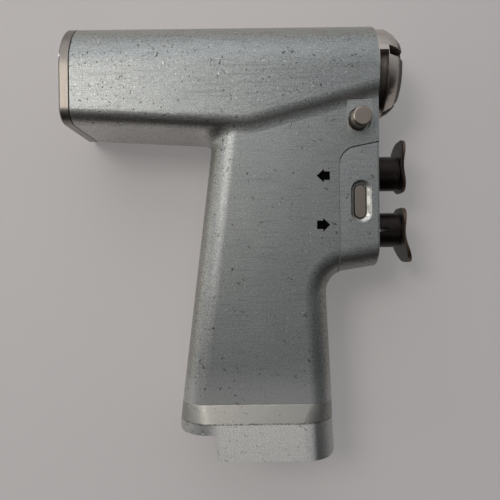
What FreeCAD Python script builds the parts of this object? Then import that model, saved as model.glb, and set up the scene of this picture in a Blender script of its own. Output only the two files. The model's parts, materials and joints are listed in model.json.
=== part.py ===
import FreeCAD
import Part
import math
import os

# Surgical power drill with a cast pistol housing, millimetres.
# +X runs along the spindle to the nose, +Z up, +Y to the drill's left.
# The origin is the centre of the nose's mouth, on the spindle axis.

# Barrel
barrel_radius = 19.0
barrel_axis_drop = 1.6
barrel_keel = 4.2
barrel_rear_rise = 3.6
barrel_wall = 4.6
barrel_corner = 5.5
barrel_neck_drop = 6.0
barrel_front = -10.0
barrel_rear = -118.8
barrel_slope_start = -56.0
barrel_slope_rise = 12.0
barrel_bend = 16.0

# Grip and skirt
grip_side_inset = 2.0
grip_rear_bottom = -82.9
grip_rake = 7.2
grip_front_top = -27.8
grip_front_bottom = -25.9
grip_bottom = -141.2
rear_step_height = 9.4
rear_step_x = -68.7
skirt_rounding = 12.0
skirt_ledge_top = -121.7
skirt_ledge_bottom = -128.0
grip_rear_rounding = 9.0
grip_front_rounding = 8.5
neck_blend = 6.5
waist_radius = 8.0
waist_end = -95.5
bottom_front_corner = 5.0
bottom_rear_corner = 2.5
step_corner = 1.2

# Trigger cover
cover_seam_x = -24.4
cover_seam_front = -28.8
cover_seam_slope = 10.8
cover_corner = 7.0
cover_bottom_front = -73.1
cover_bottom_rear = -75.8
cover_front_rounding = 0.8
cover_gap = 0.35
cover_screw_radius = 1.0
cover_screw_head_radius = 1.9
cover_screw_head_height = 1.2
cover_screw_length = 20.0
cover_screw_y = 11.5
cover_screw_inset = 5.2

# Hollows of the housing
wall = 3.2
bay_wall = 4.4
bay_top = -33.5
bay_bottom = -69.5
bay_rear = -62.0
bay_front_drop = 6.0
battery_roof = -73.0
battery_corner = 5.5
wire_passage_length = 9.0
wire_passage_width = 8.0
wire_passage_x = -57.0

# Rear cap
cap_thickness = 3.5
cap_gasket = 0.4
cap_bevel = 0.5
cap_screw_radius = 1.0
cap_screw_head_radius = 1.75
cap_screw_head_height = 1.1
cap_screw_length = 9.0
cap_screw_angles = (8.0, 172.0, 225.0, 315.0)

# Guide wire tube through the whole drive
wire_tube_outer = 1.5
wire_tube_inner = 1.15
wire_tube_front = -15.0

# Nose
nose_step = 2.4
nose_mouth_step = 4.3
nose_cylinder_length = 4.5
nose_shoulder_step = 1.7
nose_shoulder_length = 2.4
nose_bore = 9.0
nose_bore_depth = 8.0
nose_inner_bore = 8.0
nose_spigot_length = 8.0
nose_slot_angles = (14.0, 104.0, 194.0, 284.0)
nose_slot_width = 3.7
nose_slot_length = 5.7
nose_slot_wall = 1.6
nose_groove_start = 0.9
nose_groove_width = 3.2
nose_groove_depth = 3.0
nose_seal_radius = 0.8
nose_seal_x = -12.4

# Gears
ring_rim = 1.11
sun_teeth = 12
planet_teeth = 15
ring_teeth = 42
planet_count = 3
pressure_angle = 25.0
gear_addendum = 0.8
gear_dedendum = 1.15
gear_backlash = 0.12
gear_width = 8.0
gear_front = -56.0
flank_steps = 2

# Drive
carrier_thickness = 3.0
carrier_margin = 1.8
planet_pin_radius = 1.5
running_clearance = 0.05
side_clearance = 0.3
fit_gap = 0.04
shaft_radius = 2.6
shaft_step = 0.4
shaft_step_front = -66.0
shaft_tail = 1.5
shaft_bore = 1.7
spindle_radius = 6.0
spindle_bore = 2.1
spindle_front = -12.0
spindle_boss_radius = 5.4
spindle_boss_rear = -19.5
socket_across_flats = 7.0
socket_depth = 6.0
spindle_bearing_front = -19.0
spindle_bearing_rear = -45.0
bearing_width = 5.0
bearing_groove = 0.6
spacer_wall = 2.2
stator_front = -73.0
stator_length = 30.0
stator_depth = 5.8
stator_back_iron = 2.2
slot_count = 6
tooth_width = 3.6
winding_thickness = 1.1
winding_tooth_tip = 0.4
winding_air = 0.65
rotor_air = 0.5
magnet_length = 28.0
end_plate_thickness = 4.4
motor_bearing_radius = 6.5
motor_bearing_width = 3.6
motor_bearing_setback = 0.3
shaft_air = 1.0
front_plate_front = -66.6
end_rim_wall = 1.5
winding_room = 1.8

# Triggers
trigger_pitch = 21.7
upper_trigger_z = -38.15
stem_radius = 6.6
stem_shoulder = -11.8
tail_radius = 4.0
tail_rear = -26.5
trigger_travel = 7.0
plate_front = 3.0
plate_hollow = 1.7
plate_hollow_radius = 16.0
plate_width = 16.6
plate_thickness = 1.4
plate_corner = 6.5
plate_edge = 0.6
upper_plate_up = 12.6
upper_plate_down = 7.6
lower_plate_up = 8.5
lower_plate_down = 12.5
lower_tip_curl = 2.2
stem_slot_length = 5.1
stem_slot_width = 1.4
stem_slot_x = -6.3
seal_wall = 0.8
seal_length = 1.2
spring_wire = 0.9
spring_radius = 3.2
spring_plate_front = -44.0
spring_plate_thickness = 2.0
magnet_disc_radius = 1.6
magnet_disc_length = 2.0

# Mode selector
selector_x = -16.9
selector_z = -50.1
selector_width = 3.8
selector_height = 11.5
selector_neck_height = 4.6
selector_head = 3.0
selector_travel = 2.5
selector_sink = 0.4
selector_clearance = 0.25
selector_recess_margin = 1.9
selector_recess_floor = 0.6
selector_recess_shift = 0.4
selector_recess_depth = 0.9
detent_radius = 1.1
detent_spring_inset = 0.1
detent_spring_wire = 0.4

# Release button and lock pin
button_x = -16.8
button_rise = 3.7
button_radius = 3.5
button_proud = 5.3
button_travel = 3.0
button_chamfer = 0.55
button_head_length = 8.3
button_stem_radius = 1.6
button_waist_radius = 0.75
button_stem_end = 4.0
button_spot_margin = 0.3
button_spot_reach = 7.3
button_hole_radius = 4.1
button_hole_floor = -6.0
button_bush_length = 5.0
button_bush_sink = 1.8
button_spring_inset = 0.3
button_spring_wire = 0.8
lock_pin_radius = 1.4
lock_pin_tip = -7.4
lock_pin_chamfer = 0.4
lock_pin_foot_radius = 2.2
lock_pin_foot_height = 1.0
lock_pin_spring_room = 1.2
lock_pin_spring_air = 0.2
lock_pin_travel = 1.0

# Screws
screw_socket_share = 0.55

# Electronics and battery contacts
board_thickness = 1.6
board_bottom = -69.2
board_top = -34.0
capacitor_radius = 4.0
capacitor_length = 11.0
capacitor_pitch = 11.0
capacitor_count = 2
switch_rows = 3
switch_columns = 3
switch_row_pitch = 6.0
switch_column_pitch = 7.5
switch_thickness = 2.0
switch_width = 5.0
switch_height = 4.4
switch_drop = 17.0
contact_flange_drop = 6.0
contact_flange_x = (-62.0, -38.0)
contact_plug_x = (-60.0, -49.5)
contact_half_width = 10.0
contact_plug_half_width = 6.0
contact_plug_top = -66.0
contact_count = 4
contact_pitch = 4.2
contact_thickness = 0.8
contact_blade_length = 12.0
contact_drop = 5.0

barrel_centre = -barrel_axis_drop
barrel_bottom = barrel_centre - barrel_radius - barrel_keel
barrel_rear_bottom = barrel_bottom + barrel_rear_rise
barrel_front_bottom = barrel_bottom + barrel_slope_rise
bore_radius = barrel_radius - barrel_wall
grip_half_width = barrel_radius - grip_side_inset
skirt_half_width = barrel_radius
step_z = grip_bottom + rear_step_height
grip_top = barrel_centre - barrel_neck_drop
bay_half_width = grip_half_width - bay_wall
board_half_width = bay_half_width - side_clearance
cap_screw_circle = bore_radius + barrel_wall / 2
nose_radius = barrel_radius - nose_step
nose_mouth_radius = nose_radius - nose_mouth_step
nose_shoulder_radius = nose_radius - nose_shoulder_step
nose_slot_floor = nose_bore + nose_slot_wall
nose_groove_floor = nose_radius - nose_groove_depth
gear_module = (bore_radius - ring_rim) / (ring_teeth / 2 + gear_dedendum)
planet_distance = gear_module * (sun_teeth + planet_teeth) / 2
carrier_radius = planet_distance + planet_pin_radius + carrier_margin
stator_inner_radius = bore_radius - stator_depth
magnet_radius = stator_inner_radius - rotor_air
lower_trigger_z = upper_trigger_z - trigger_pitch
button_z = barrel_bottom + button_rise
lock_pin_foot = button_z + button_stem_radius + side_clearance
lock_pin_spring_top = -bore_radius - lock_pin_spring_room
X_AXIS = FreeCAD.Vector(1, 0, 0)
Y_AXIS = FreeCAD.Vector(0, 1, 0)


def on_side(u, v, level):
    """A point of a side outline: u along X, v along Z, level along Y."""
    return FreeCAD.Vector(u, level, v)


def on_section(u, v, level):
    """A point of a cross-section: u along Y, v along Z, level along X."""
    return FreeCAD.Vector(level, u, v)


def outline(points, place, level):
    """Closed wire through (u, v, corner radius) points, each corner rounded by its own radius."""
    flat = [FreeCAD.Vector(u, v, 0) for u, v, _ in points]
    count = len(flat)
    starts = []
    ends = []
    arc_points = []
    for i, (_, _, radius) in enumerate(points):
        corner = flat[i]
        before = (flat[i - 1] - corner).normalize()
        after = (flat[(i + 1) % count] - corner).normalize()
        half = before.getAngle(after) / 2
        reach = radius / math.tan(half) if radius else 0.0
        starts.append(corner + before * reach)
        ends.append(corner + after * reach)
        inward = (before + after).normalize() if radius else before
        arc_points.append(corner + inward * (radius / math.sin(half) - radius))
    edges = []
    for i, (_, _, radius) in enumerate(points):
        start = place(starts[i].x, starts[i].y, level)
        end = place(ends[i].x, ends[i].y, level)
        following = starts[(i + 1) % count]
        if radius:
            halfway = place(arc_points[i].x, arc_points[i].y, level)
            edges.append(Part.Arc(start, halfway, end).toShape())
        edges.append(Part.makeLine(end, place(following.x, following.y, level)))
    return Part.Wire(edges)


def side_prism(points, half_width):
    """Solid between -half_width and +half_width in Y with a side outline."""
    face = Part.Face(outline(points, on_side, -half_width))
    return face.extrude(Y_AXIS * (2 * half_width))


def section_prism(points, start, end):
    """Solid from x = start to x = end with a cross-section outline."""
    face = Part.Face(outline(points, on_section, start))
    return face.extrude(X_AXIS * (end - start))


def rod(radius, start, end, y=0.0, z=0.0):
    """Round bar along X."""
    return Part.makeCylinder(radius, end - start, FreeCAD.Vector(start, y, z), X_AXIS)


def ring(outer, inner, start, end, y=0.0, z=0.0):
    """Tube along X."""
    return rod(outer, start, end, y, z).cut(rod(inner, start - 1, end + 1, y, z))


def bar(radius, x, z, y_start, y_end):
    """Round bar along Y."""
    return Part.makeCylinder(radius, y_end - y_start, FreeCAD.Vector(x, y_start, z), Y_AXIS)


def block(x_range, y_range, z_range):
    """Plain block from three ranges."""
    low = FreeCAD.Vector(x_range[0], y_range[0], z_range[0])
    size = [r[1] - r[0] for r in (x_range, y_range, z_range)]
    return Part.makeBox(*size, low)


def middle(edge):
    """Middle point of an edge."""
    return edge.valueAt((edge.FirstParameter + edge.LastParameter) / 2)


def rounded_edges(shape, radius, wanted):
    """Round the edges whose middle point passes the test."""
    chosen = [edge for edge in shape.Edges if wanted(middle(edge))]
    return shape.makeFillet(radius, chosen)


def rear_line(z):
    """X of the grip's rear edge at a height."""
    return grip_rear_bottom + (z - step_z) * math.tan(math.radians(grip_rake))


def front_line(z):
    """X of the grip's front edge at a height."""
    share = (z - waist_end) / (grip_bottom - waist_end)
    return grip_front_top + share * (grip_front_bottom - grip_front_top)


def barrel_arch(start, end):
    """Upper half of the barrel's round."""
    top = barrel_centre + barrel_radius
    above = block((start, end), (-barrel_radius, barrel_radius), (barrel_centre, top))
    return rod(barrel_radius, start, end, z=barrel_centre).common(above)


def barrel_section(start, end):
    """Barrel section, a round arch over a box with rounded lower corners."""
    points = [
        (barrel_radius, barrel_centre, 0),
        (barrel_radius, barrel_rear_bottom, barrel_corner),
        (-barrel_radius, barrel_rear_bottom, barrel_corner),
        (-barrel_radius, barrel_centre, 0),
    ]
    return section_prism(points, start, end).fuse(barrel_arch(start, end)).removeSplitter()


def barrel_outside():
    """Round barrel over a lower box that is deepest at the grip and rises to both ends."""
    lower = side_prism(
        [
            (barrel_rear, barrel_centre, 0),
            (barrel_rear, barrel_rear_bottom, 0),
            (barrel_slope_start, barrel_bottom, barrel_bend),
            (barrel_front, barrel_front_bottom, 0),
            (barrel_front, barrel_centre, 0),
        ],
        barrel_radius,
    )

    def on_lower_edge(p):
        inside = barrel_rear + 0.5 < p.x < barrel_front - 0.5
        return inside and abs(p.y) > barrel_radius - fit_gap and p.z < barrel_centre - barrel_corner

    lower = rounded_edges(lower, barrel_corner, on_lower_edge)
    return lower.fuse(barrel_arch(barrel_rear, barrel_front))


def upright_edges(shape, rear_radius, front_radius):
    """Round the four long edges of an upright prism, the rear ones by their own radius."""
    half = shape.BoundBox.YMax
    centre = (rear_line(waist_end) + front_line(waist_end)) / 2

    def at_corner(p):
        return abs(abs(p.y) - half) < fit_gap and shape.BoundBox.ZMin + 1 < p.z < shape.BoundBox.ZMax - 1

    rear = rounded_edges(shape, rear_radius, lambda p: at_corner(p) and p.x < centre)
    return rounded_edges(rear, front_radius, lambda p: at_corner(p) and p.x > centre)


def grip_slab(low, high, half_width, inset=0.0):
    """Flat-sided length of the grip between two heights, its front and rear moved in by inset."""
    return side_prism(
        [
            (rear_line(low) + inset, low, 0),
            (front_line(low) - inset, low, 0),
            (front_line(high) - inset, high, 0),
            (rear_line(high) + inset, high, 0),
        ],
        half_width,
    )


def level_wire(shape, z):
    """Outline of a shape's flat face at a height."""
    faces = [f for f in shape.Faces if f.BoundBox.ZLength < fit_gap and abs(f.BoundBox.ZMin - z) < fit_gap]
    return faces[0].OuterWire


def grip_column():
    """Raked grip that flares out to the skirt, with the step cut from its rear foot."""
    slab = grip_slab(skirt_ledge_top, grip_top, grip_half_width)
    upper = upright_edges(slab, grip_rear_rounding, grip_front_rounding)
    slab = grip_slab(grip_bottom, skirt_ledge_bottom, skirt_half_width)
    skirt = upright_edges(slab, skirt_rounding, skirt_rounding)
    wires = [level_wire(skirt, skirt_ledge_bottom), level_wire(upper, skirt_ledge_top)]
    ledge = Part.makeLoft(wires, True, True)
    foot = side_prism(
        [
            (barrel_front, grip_top, 0),
            (front_line(waist_end) + skirt_half_width, waist_end, 0),
            (grip_front_bottom, grip_bottom, bottom_front_corner),
            (rear_step_x, grip_bottom, step_corner),
            (rear_step_x, step_z, 0),
            (grip_rear_bottom, step_z, bottom_rear_corner),
            (rear_line(grip_top) - 1, grip_top, 0),
        ],
        skirt_half_width + 1,
    )
    return upper.fuse([ledge, skirt]).common(foot)


def front_body():
    """Front of the grip under the barrel, cover included, ending in the waist's hollow curve."""
    inside = grip_front_top - 2 * grip_front_rounding
    body = side_prism(
        [
            (inside, grip_top, 0),
            (barrel_front, grip_top, 0),
            (barrel_front, cover_bottom_front, 0),
            (front_line(cover_bottom_rear), cover_bottom_rear, waist_radius),
            (grip_front_top, waist_end, 0),
            (inside, waist_end, 0),
        ],
        grip_half_width,
    )

    def on_lower_edge(p):
        low = waist_end + 0.1 < p.z < cover_bottom_front
        return low and abs(p.y) > grip_half_width - 0.01 and inside + 1 < p.x < barrel_front - 0.01

    return rounded_edges(body, grip_front_rounding, on_lower_edge)


def cover_region(inset):
    """Space in front of the cover's seam, moved in by inset."""
    fall = math.tan(math.radians(cover_seam_slope))
    past = 5.0
    front_z = cover_seam_front - inset + fall * past
    rear_z = cover_seam_front - inset - fall * (barrel_front - cover_seam_x)
    seam_x = cover_seam_x + inset
    return side_prism(
        [
            (barrel_front + past, front_z, 0),
            (seam_x, rear_z, cover_corner - inset),
            (seam_x, waist_end, 0),
            (barrel_front + past, waist_end, 0),
        ],
        skirt_half_width + 1,
    )


def stem_hole(z, clearance):
    """Space that a trigger's stem and tail sweep through over the travel."""
    shoulder_rear = stem_shoulder - trigger_travel - side_clearance
    wide = rod(stem_radius + clearance, shoulder_rear, 0.0, z=z)
    return wide.fuse(rod(tail_radius + clearance, tail_rear - trigger_travel - 1, shoulder_rear + 1, z=z))


def battery_pocket():
    """Hollow of the grip that takes the battery's mast, open at the bottom."""
    slab = grip_slab(grip_bottom - 1, battery_roof, grip_half_width - wall, wall)
    return upright_edges(slab, battery_corner, battery_corner)


def mechanism_bay():
    """Hollow behind the cover for the trigger springs and the control board."""
    return side_prism(
        [
            (bay_rear, bay_bottom, 0),
            (cover_seam_x + 1, bay_bottom, 0),
            (cover_seam_x + 1, bay_top - bay_front_drop, 0),
            (cover_seam_x - bay_front_drop, bay_top, 0),
            (bay_rear, bay_top, 0),
        ],
        bay_half_width,
    )


def cap_screw_places():
    """Centres (y, z) of the rear cap's screws around the spindle axis."""
    angles = [math.radians(a) for a in cap_screw_angles]
    return [(cap_screw_circle * math.cos(a), cap_screw_circle * math.sin(a)) for a in angles]


def cover_screw_places():
    """Centres (y, z) of the cover's four screws."""
    top = cover_seam_front - cover_screw_inset
    bottom = cover_bottom_front + cover_screw_inset
    return [(y, z) for y in (-cover_screw_y, cover_screw_y) for z in (top, bottom)]


def lock_pin_space():
    """Hole for the lock pin, its foot and its spring."""
    shaft = Part.makeCylinder(
        lock_pin_radius + running_clearance,
        lock_pin_tip - lock_pin_foot,
        FreeCAD.Vector(button_x, 0, lock_pin_foot),
    )
    wide = Part.makeCylinder(
        lock_pin_foot_radius + side_clearance,
        lock_pin_spring_top - button_z,
        FreeCAD.Vector(button_x, 0, button_z),
    )
    return shaft.fuse(wide)


def button_space():
    """Spot face and stepped hole for the release button and its stem."""
    start = -barrel_radius
    reach = button_hole_radius + button_spot_margin
    spot = block(
        (button_x - reach, button_x + reach),
        (start, -grip_half_width),
        (button_z - reach, button_z + button_spot_reach),
    )
    head = bar(button_hole_radius, button_x, button_z, start, button_hole_floor)
    end = button_stem_end + button_travel + 1
    stem = bar(button_stem_radius + running_clearance, button_x, button_z, button_hole_floor - 1, end)
    return spot.fuse([head, stem])


def main_housing():
    """Cast barrel, grip and skirt in one, bored and hollowed."""
    barrel = barrel_outside()
    grip = grip_column().fuse(front_body().cut(cover_region(0.0)))
    outside = barrel.fuse(grip).removeSplitter()
    walls = [barrel.Shells[0], grip.Shells[0]]

    def at_junction(p):
        point = Part.Vertex(p)
        on_both = all(point.distToShape(wall)[0] < fit_gap for wall in walls)
        return on_both and p.x < barrel_front - barrel_corner / 2

    outside = rounded_edges(outside, neck_blend, at_junction)
    hollows = [
        rod(bore_radius, barrel_rear - 1, barrel_front + 1),
        battery_pocket(),
        mechanism_bay(),
        stem_hole(upper_trigger_z, side_clearance),
        stem_hole(lower_trigger_z, side_clearance),
        button_space(),
        lock_pin_space(),
        block(
            (contact_plug_x[0] - side_clearance, contact_plug_x[1] + side_clearance),
            (-contact_plug_half_width - side_clearance, contact_plug_half_width + side_clearance),
            (battery_roof - 1, bay_bottom + 1),
        ),
        block(
            (wire_passage_x - wire_passage_length / 2, wire_passage_x + wire_passage_length / 2),
            (-wire_passage_width / 2, wire_passage_width / 2),
            (bay_top - 1, -bore_radius + 2),
        ),
    ]
    hole = cap_screw_radius + fit_gap
    for y, z in cap_screw_places():
        hollows.append(rod(hole, barrel_rear - 1, barrel_rear + cap_screw_length, y, z))
    hole = cover_screw_radius + fit_gap
    for y, z in cover_screw_places():
        hollows.append(rod(hole, barrel_front - cover_screw_length - side_clearance, barrel_front, y, z))
    return outside.cut(hollows)


def selector_outline(margin, height):
    """Obround outline of the selector, grown by a margin."""
    half_x = selector_width / 2 + margin
    half_z = height / 2 + margin
    corner = half_x - 0.001
    return [
        (selector_x - half_x, selector_z - half_z, corner),
        (selector_x + half_x, selector_z - half_z, corner),
        (selector_x + half_x, selector_z + half_z, corner),
        (selector_x - half_x, selector_z + half_z, corner),
    ]


def obround(margin, height, y_start, y_end):
    """Obround bar along Y at the selector's place."""
    face = Part.Face(outline(selector_outline(margin, height), on_side, y_start))
    return face.extrude(Y_AXIS * (y_end - y_start))


def selector_space():
    """Stepped slot through the cover, wide at both ends and slim between the stems."""
    depth = selector_head + selector_travel + selector_sink + side_clearance
    space = obround(selector_clearance, selector_neck_height, -grip_half_width - 1, grip_half_width + 1)
    for side in (-1, 1):
        outer = side * (grip_half_width + 1)
        inner = side * (grip_half_width - depth)
        low, high = sorted((outer, inner))
        space = space.fuse(obround(selector_clearance, selector_height, low, high))
    return space


def selector_recess():
    """Sloped dish around the selector on the side that the thumb presses."""
    face_y = -grip_half_width
    wide = outline(selector_outline(selector_recess_margin, selector_height), on_side, face_y - fit_gap)
    wide.translate(X_AXIS * selector_recess_shift)
    floor_y = face_y + selector_recess_depth
    slim = outline(selector_outline(selector_recess_floor, selector_height), on_side, floor_y)
    return Part.makeLoft([wide, slim], True, True)


def trigger_housing():
    """Front cover with the stem bores, the selector's slot and its screw holes."""
    cover = front_body().common(cover_region(cover_gap))

    def on_front_edge(p):
        return p.x > barrel_front - 0.01 and abs(p.y) > grip_half_width - 0.01

    cover = rounded_edges(cover, cover_front_rounding, on_front_edge)
    cuts = [selector_space(), selector_recess()]
    for z in (upper_trigger_z, lower_trigger_z):
        cuts.append(stem_hole(z, running_clearance))
        cuts.append(rod(stem_radius + seal_wall, barrel_front - seal_length, 0.0, z=z))
    for y, z in cover_screw_places():
        cuts.append(rod(cover_screw_radius + fit_gap, cover_seam_x - 1, barrel_front + 1, y, z))
        head_floor = barrel_front - cover_screw_head_height
        cuts.append(rod(cover_screw_head_radius + fit_gap, head_floor, 0.0, y, z))
    cuts.append(rod(detent_radius + running_clearance, cover_seam_x - 1, selector_x, z=selector_z))
    return cover.cut(cuts)


def cover_gasket():
    """Thin seal that shows as the dark seam behind the cover."""
    layer = front_body().common(cover_region(fit_gap)).cut(cover_region(cover_gap - fit_gap))
    holes = [stem_hole(z, side_clearance) for z in (upper_trigger_z, lower_trigger_z)]
    for y, z in cover_screw_places():
        holes.append(rod(cover_screw_radius + side_clearance, cover_seam_x - 1, barrel_front, y, z))
    holes.append(rod(detent_radius + side_clearance, cover_seam_x - 1, cover_seam_x + 1, z=selector_z))
    return layer.cut(holes)


def hexagon(reach, y=0.0, z=0.0):
    """Corners of a hexagon in a cross-section."""
    angles = [i * math.pi / 3 for i in range(6)]
    return [(y + reach * math.cos(a), z + reach * math.sin(a), 0) for a in angles]


def screw(radius, head_radius, head_height, length, face_x, direction, y, z):
    """Socket screw along X with its head's face at face_x and its tip in the given direction."""
    head_end = face_x + direction * head_height
    tip = face_x + direction * length
    head = rod(head_radius, *sorted((face_x, head_end)), y, z)
    shank = rod(radius, *sorted((head_end, tip)), y, z)
    corners = hexagon(screw_socket_share * head_radius, y, z)
    socket = section_prism(corners, face_x, face_x + direction * screw_socket_share * head_height)
    return head.fuse(shank).cut(socket)


def cover_screws():
    """Four screws that hold the cover from the front."""
    face = barrel_front - fit_gap
    screws = []
    for y, z in cover_screw_places():
        size = (cover_screw_radius, cover_screw_head_radius, cover_screw_head_height - fit_gap)
        screws.append(screw(*size, cover_screw_length, face, -1, y, z))
    return Part.makeCompound(screws)


def rear_cap():
    """Polished plate that closes the barrel."""
    front = barrel_rear - cap_gasket
    back = front - cap_thickness
    plate = barrel_section(back, front)
    rim = [e for e in plate.Edges if middle(e).x < back + 0.01]
    plate = plate.makeChamfer(cap_bevel, rim)
    cuts = [rod(wire_tube_outer + fit_gap, back - 1, front + 1)]
    for y, z in cap_screw_places():
        cuts.append(rod(cap_screw_radius + fit_gap, back - 1, front + 1, y, z))
        cuts.append(rod(cap_screw_head_radius + fit_gap, back - 1, back + cap_screw_head_height, y, z))
    return plate.cut(cuts)


def rear_gasket():
    """Flat seal between the cap and the barrel."""
    start = barrel_rear - cap_gasket + fit_gap
    layer = barrel_section(start, barrel_rear - fit_gap)
    cuts = [rod(bore_radius - 1, start - 1, barrel_rear + 1)]
    for y, z in cap_screw_places():
        cuts.append(rod(cap_screw_radius + fit_gap, start - 1, barrel_rear + 1, y, z))
    return layer.cut(cuts)


def rear_cap_screws():
    """Four screws that hold the rear cap."""
    face = barrel_rear - cap_gasket - cap_thickness + fit_gap
    screws = []
    for y, z in cap_screw_places():
        size = (cap_screw_radius, cap_screw_head_radius, cap_screw_head_height - 2 * fit_gap)
        screws.append(screw(*size, cap_screw_length + cap_thickness, face, 1, y, z))
    return Part.makeCompound(screws)


def turned(points):
    """Solid of revolution about the spindle axis from (x, radius) points."""
    vectors = [FreeCAD.Vector(x, 0, r) for x, r in points]
    wire = Part.makePolygon(vectors + [vectors[0]])
    return Part.Face(wire).revolve(FreeCAD.Vector(0, 0, 0), X_AXIS, 360)


def nose_collar():
    """Bayonet collar: a cone with four slots, grooved on two of its four sectors."""
    rear = barrel_front - nose_spigot_length
    shoulder_x = -nose_shoulder_length
    collar = turned(
        [
            (rear, nose_inner_bore),
            (rear, bore_radius - fit_gap),
            (barrel_front, bore_radius - fit_gap),
            (barrel_front, nose_radius),
            (barrel_front + nose_cylinder_length, nose_radius),
            (shoulder_x, nose_shoulder_radius),
            (0, nose_mouth_radius),
            (0, nose_bore),
            (-nose_bore_depth, nose_bore),
            (-nose_bore_depth, nose_inner_bore),
        ]
    )
    groove_x = barrel_front + nose_groove_start
    groove = ring(nose_radius + 1, nose_groove_floor, groove_x, groove_x + nose_groove_width)
    slot = block(
        (-nose_slot_length, 1),
        (nose_slot_floor, nose_radius + 1),
        (-nose_slot_width / 2, nose_slot_width / 2),
    )
    cuts = []
    for angle in nose_slot_angles:
        cuts.append(slot.rotated(FreeCAD.Vector(0, 0, 0), X_AXIS, 180 - angle))
    wedge_reach = 2 * nose_radius
    wedge = Part.makePolygon([
        FreeCAD.Vector(groove_x - 0.5, 0, 0),
        FreeCAD.Vector(groove_x - 0.5, wedge_reach, 0),
        FreeCAD.Vector(groove_x - 0.5, wedge_reach, wedge_reach),
        FreeCAD.Vector(groove_x - 0.5, 0, wedge_reach),
        FreeCAD.Vector(groove_x - 0.5, 0, 0),
    ])
    quarter = Part.Face(wedge).extrude(X_AXIS * (nose_groove_width + 1))
    for angle in nose_slot_angles[0::2]:
        sector = quarter.rotated(FreeCAD.Vector(0, 0, 0), X_AXIS, 180 - angle)
        cuts.append(groove.common(sector))
    cuts.append(lock_pin_space())
    seal_groove = ring(bore_radius + 1, bore_radius - 2 * nose_seal_radius, nose_seal_x - 1, nose_seal_x + 1)
    cuts.append(seal_groove)
    return collar.cut(cuts)


def nose_seal():
    """Seal ring between the collar and the barrel."""
    inner = bore_radius - 2 * nose_seal_radius + fit_gap
    return ring(bore_radius - fit_gap, inner, nose_seal_x - nose_seal_radius, nose_seal_x + nose_seal_radius)


def involute(angle):
    """Involute function of an angle in radians."""
    return math.tan(angle) - angle


def gear_outline(teeth, addendum, dedendum, thinning):
    """Tooth outline as (y, z) points, first tooth centred on +Y."""
    pitch_r = gear_module * teeth / 2
    base_r = pitch_r * math.cos(math.radians(pressure_angle))
    tip_r = pitch_r + addendum * gear_module
    root_r = pitch_r - dedendum * gear_module
    flank_start = max(base_r, root_r)
    half_tooth = math.pi / (2 * teeth) - thinning / (2 * pitch_r)
    at_pitch = involute(math.radians(pressure_angle))
    side = []
    for i in range(flank_steps + 1):
        r = flank_start + (tip_r - flank_start) * i / flank_steps
        side.append((r, half_tooth + at_pitch - involute(math.acos(min(1.0, base_r / r)))))
    if root_r < flank_start - 0.01:
        side.insert(0, (root_r, side[0][1]))
    points = []
    for tooth in range(teeth):
        centre = 2 * math.pi * tooth / teeth
        points += [(r * math.cos(centre - a), r * math.sin(centre - a)) for r, a in side]
        points += [(r * math.cos(centre + a), r * math.sin(centre + a)) for r, a in reversed(side)]
    return points


def gear_solid(points, start, end):
    """Toothed bar along X."""
    vectors = [FreeCAD.Vector(start, y, z) for y, z in points]
    face = Part.Face(Part.makePolygon(vectors + [vectors[0]]))
    return face.extrude(X_AXIS * (end - start))


def planet_angles():
    """Direction of each planet around the spindle, in degrees from +Y."""
    return [90 + 360 * i / planet_count for i in range(planet_count)]


def planet_turn(angle):
    """Turn of a planet about its own axis that puts it in mesh with the sun."""
    sun_pitch = 360 / sun_teeth
    planet_pitch = 360 / planet_teeth
    phase = (angle % sun_pitch) / sun_pitch
    return angle + 180 + phase * planet_pitch + planet_pitch / 2


def ring_turn():
    """Turn of the ring gear that puts a tooth space on the first planet's tooth."""
    angle = planet_angles()[0]
    planet_pitch = 360 / planet_teeth
    past_tooth = (angle - planet_turn(angle)) % planet_pitch
    return angle - past_tooth * planet_teeth / ring_teeth


def turn_about_x(shape, degrees, y=0.0, z=0.0):
    """Turn a shape about an axis along X."""
    return shape.rotated(FreeCAD.Vector(0, y, z), X_AXIS, degrees)


def planet_place(angle):
    """Centre (y, z) of a planet."""
    turn = math.radians(angle)
    return planet_distance * math.cos(turn), planet_distance * math.sin(turn)


def sun_gear():
    """Pinion on the rotor shaft."""
    points = gear_outline(sun_teeth, gear_addendum, gear_dedendum, gear_backlash)
    gear = gear_solid(points, gear_front - gear_width - side_clearance, gear_front + side_clearance)
    seat = rod(shaft_radius - shaft_step + fit_gap, gear_front - gear_width - 1, gear_front + 1)
    return gear.cut(seat)


def planet_gear(angle):
    """One planet on its pin."""
    points = gear_outline(planet_teeth, gear_addendum, gear_dedendum, gear_backlash)
    gear = gear_solid(points, gear_front - gear_width, gear_front)
    bore = rod(planet_pin_radius + running_clearance, gear_front - gear_width - 1, gear_front + 1)
    gear = turn_about_x(gear.cut(bore), planet_turn(angle))
    y, z = planet_place(angle)
    return gear.translated(FreeCAD.Vector(0, y, z))


def ring_gear():
    """Fixed internal gear seated in the barrel."""
    space = gear_outline(ring_teeth, gear_dedendum, gear_addendum, -gear_backlash)
    start = front_plate_front
    end = spindle_bearing_rear - bearing_width
    body = rod(bore_radius - fit_gap, start, end)
    pitch_r = gear_module * ring_teeth / 2
    toothed_end = gear_front + side_clearance / 2
    teeth = turn_about_x(gear_solid(space, start - 1, toothed_end), ring_turn())
    clear = rod(pitch_r + gear_dedendum * gear_module, toothed_end - fit_gap, end + 1)
    return body.cut([teeth, clear])


def planet_carrier():
    """Disc with three pins, pressed on the spindle."""
    start = gear_front + side_clearance
    disc = rod(carrier_radius, start, start + carrier_thickness)
    pins = []
    for angle in planet_angles():
        y, z = planet_place(angle)
        pins.append(rod(planet_pin_radius, gear_front - gear_width, start + 1, y, z))
    return disc.fuse(pins).cut(rod(spindle_radius + fit_gap, start - 1, start + carrier_thickness + 1))


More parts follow.
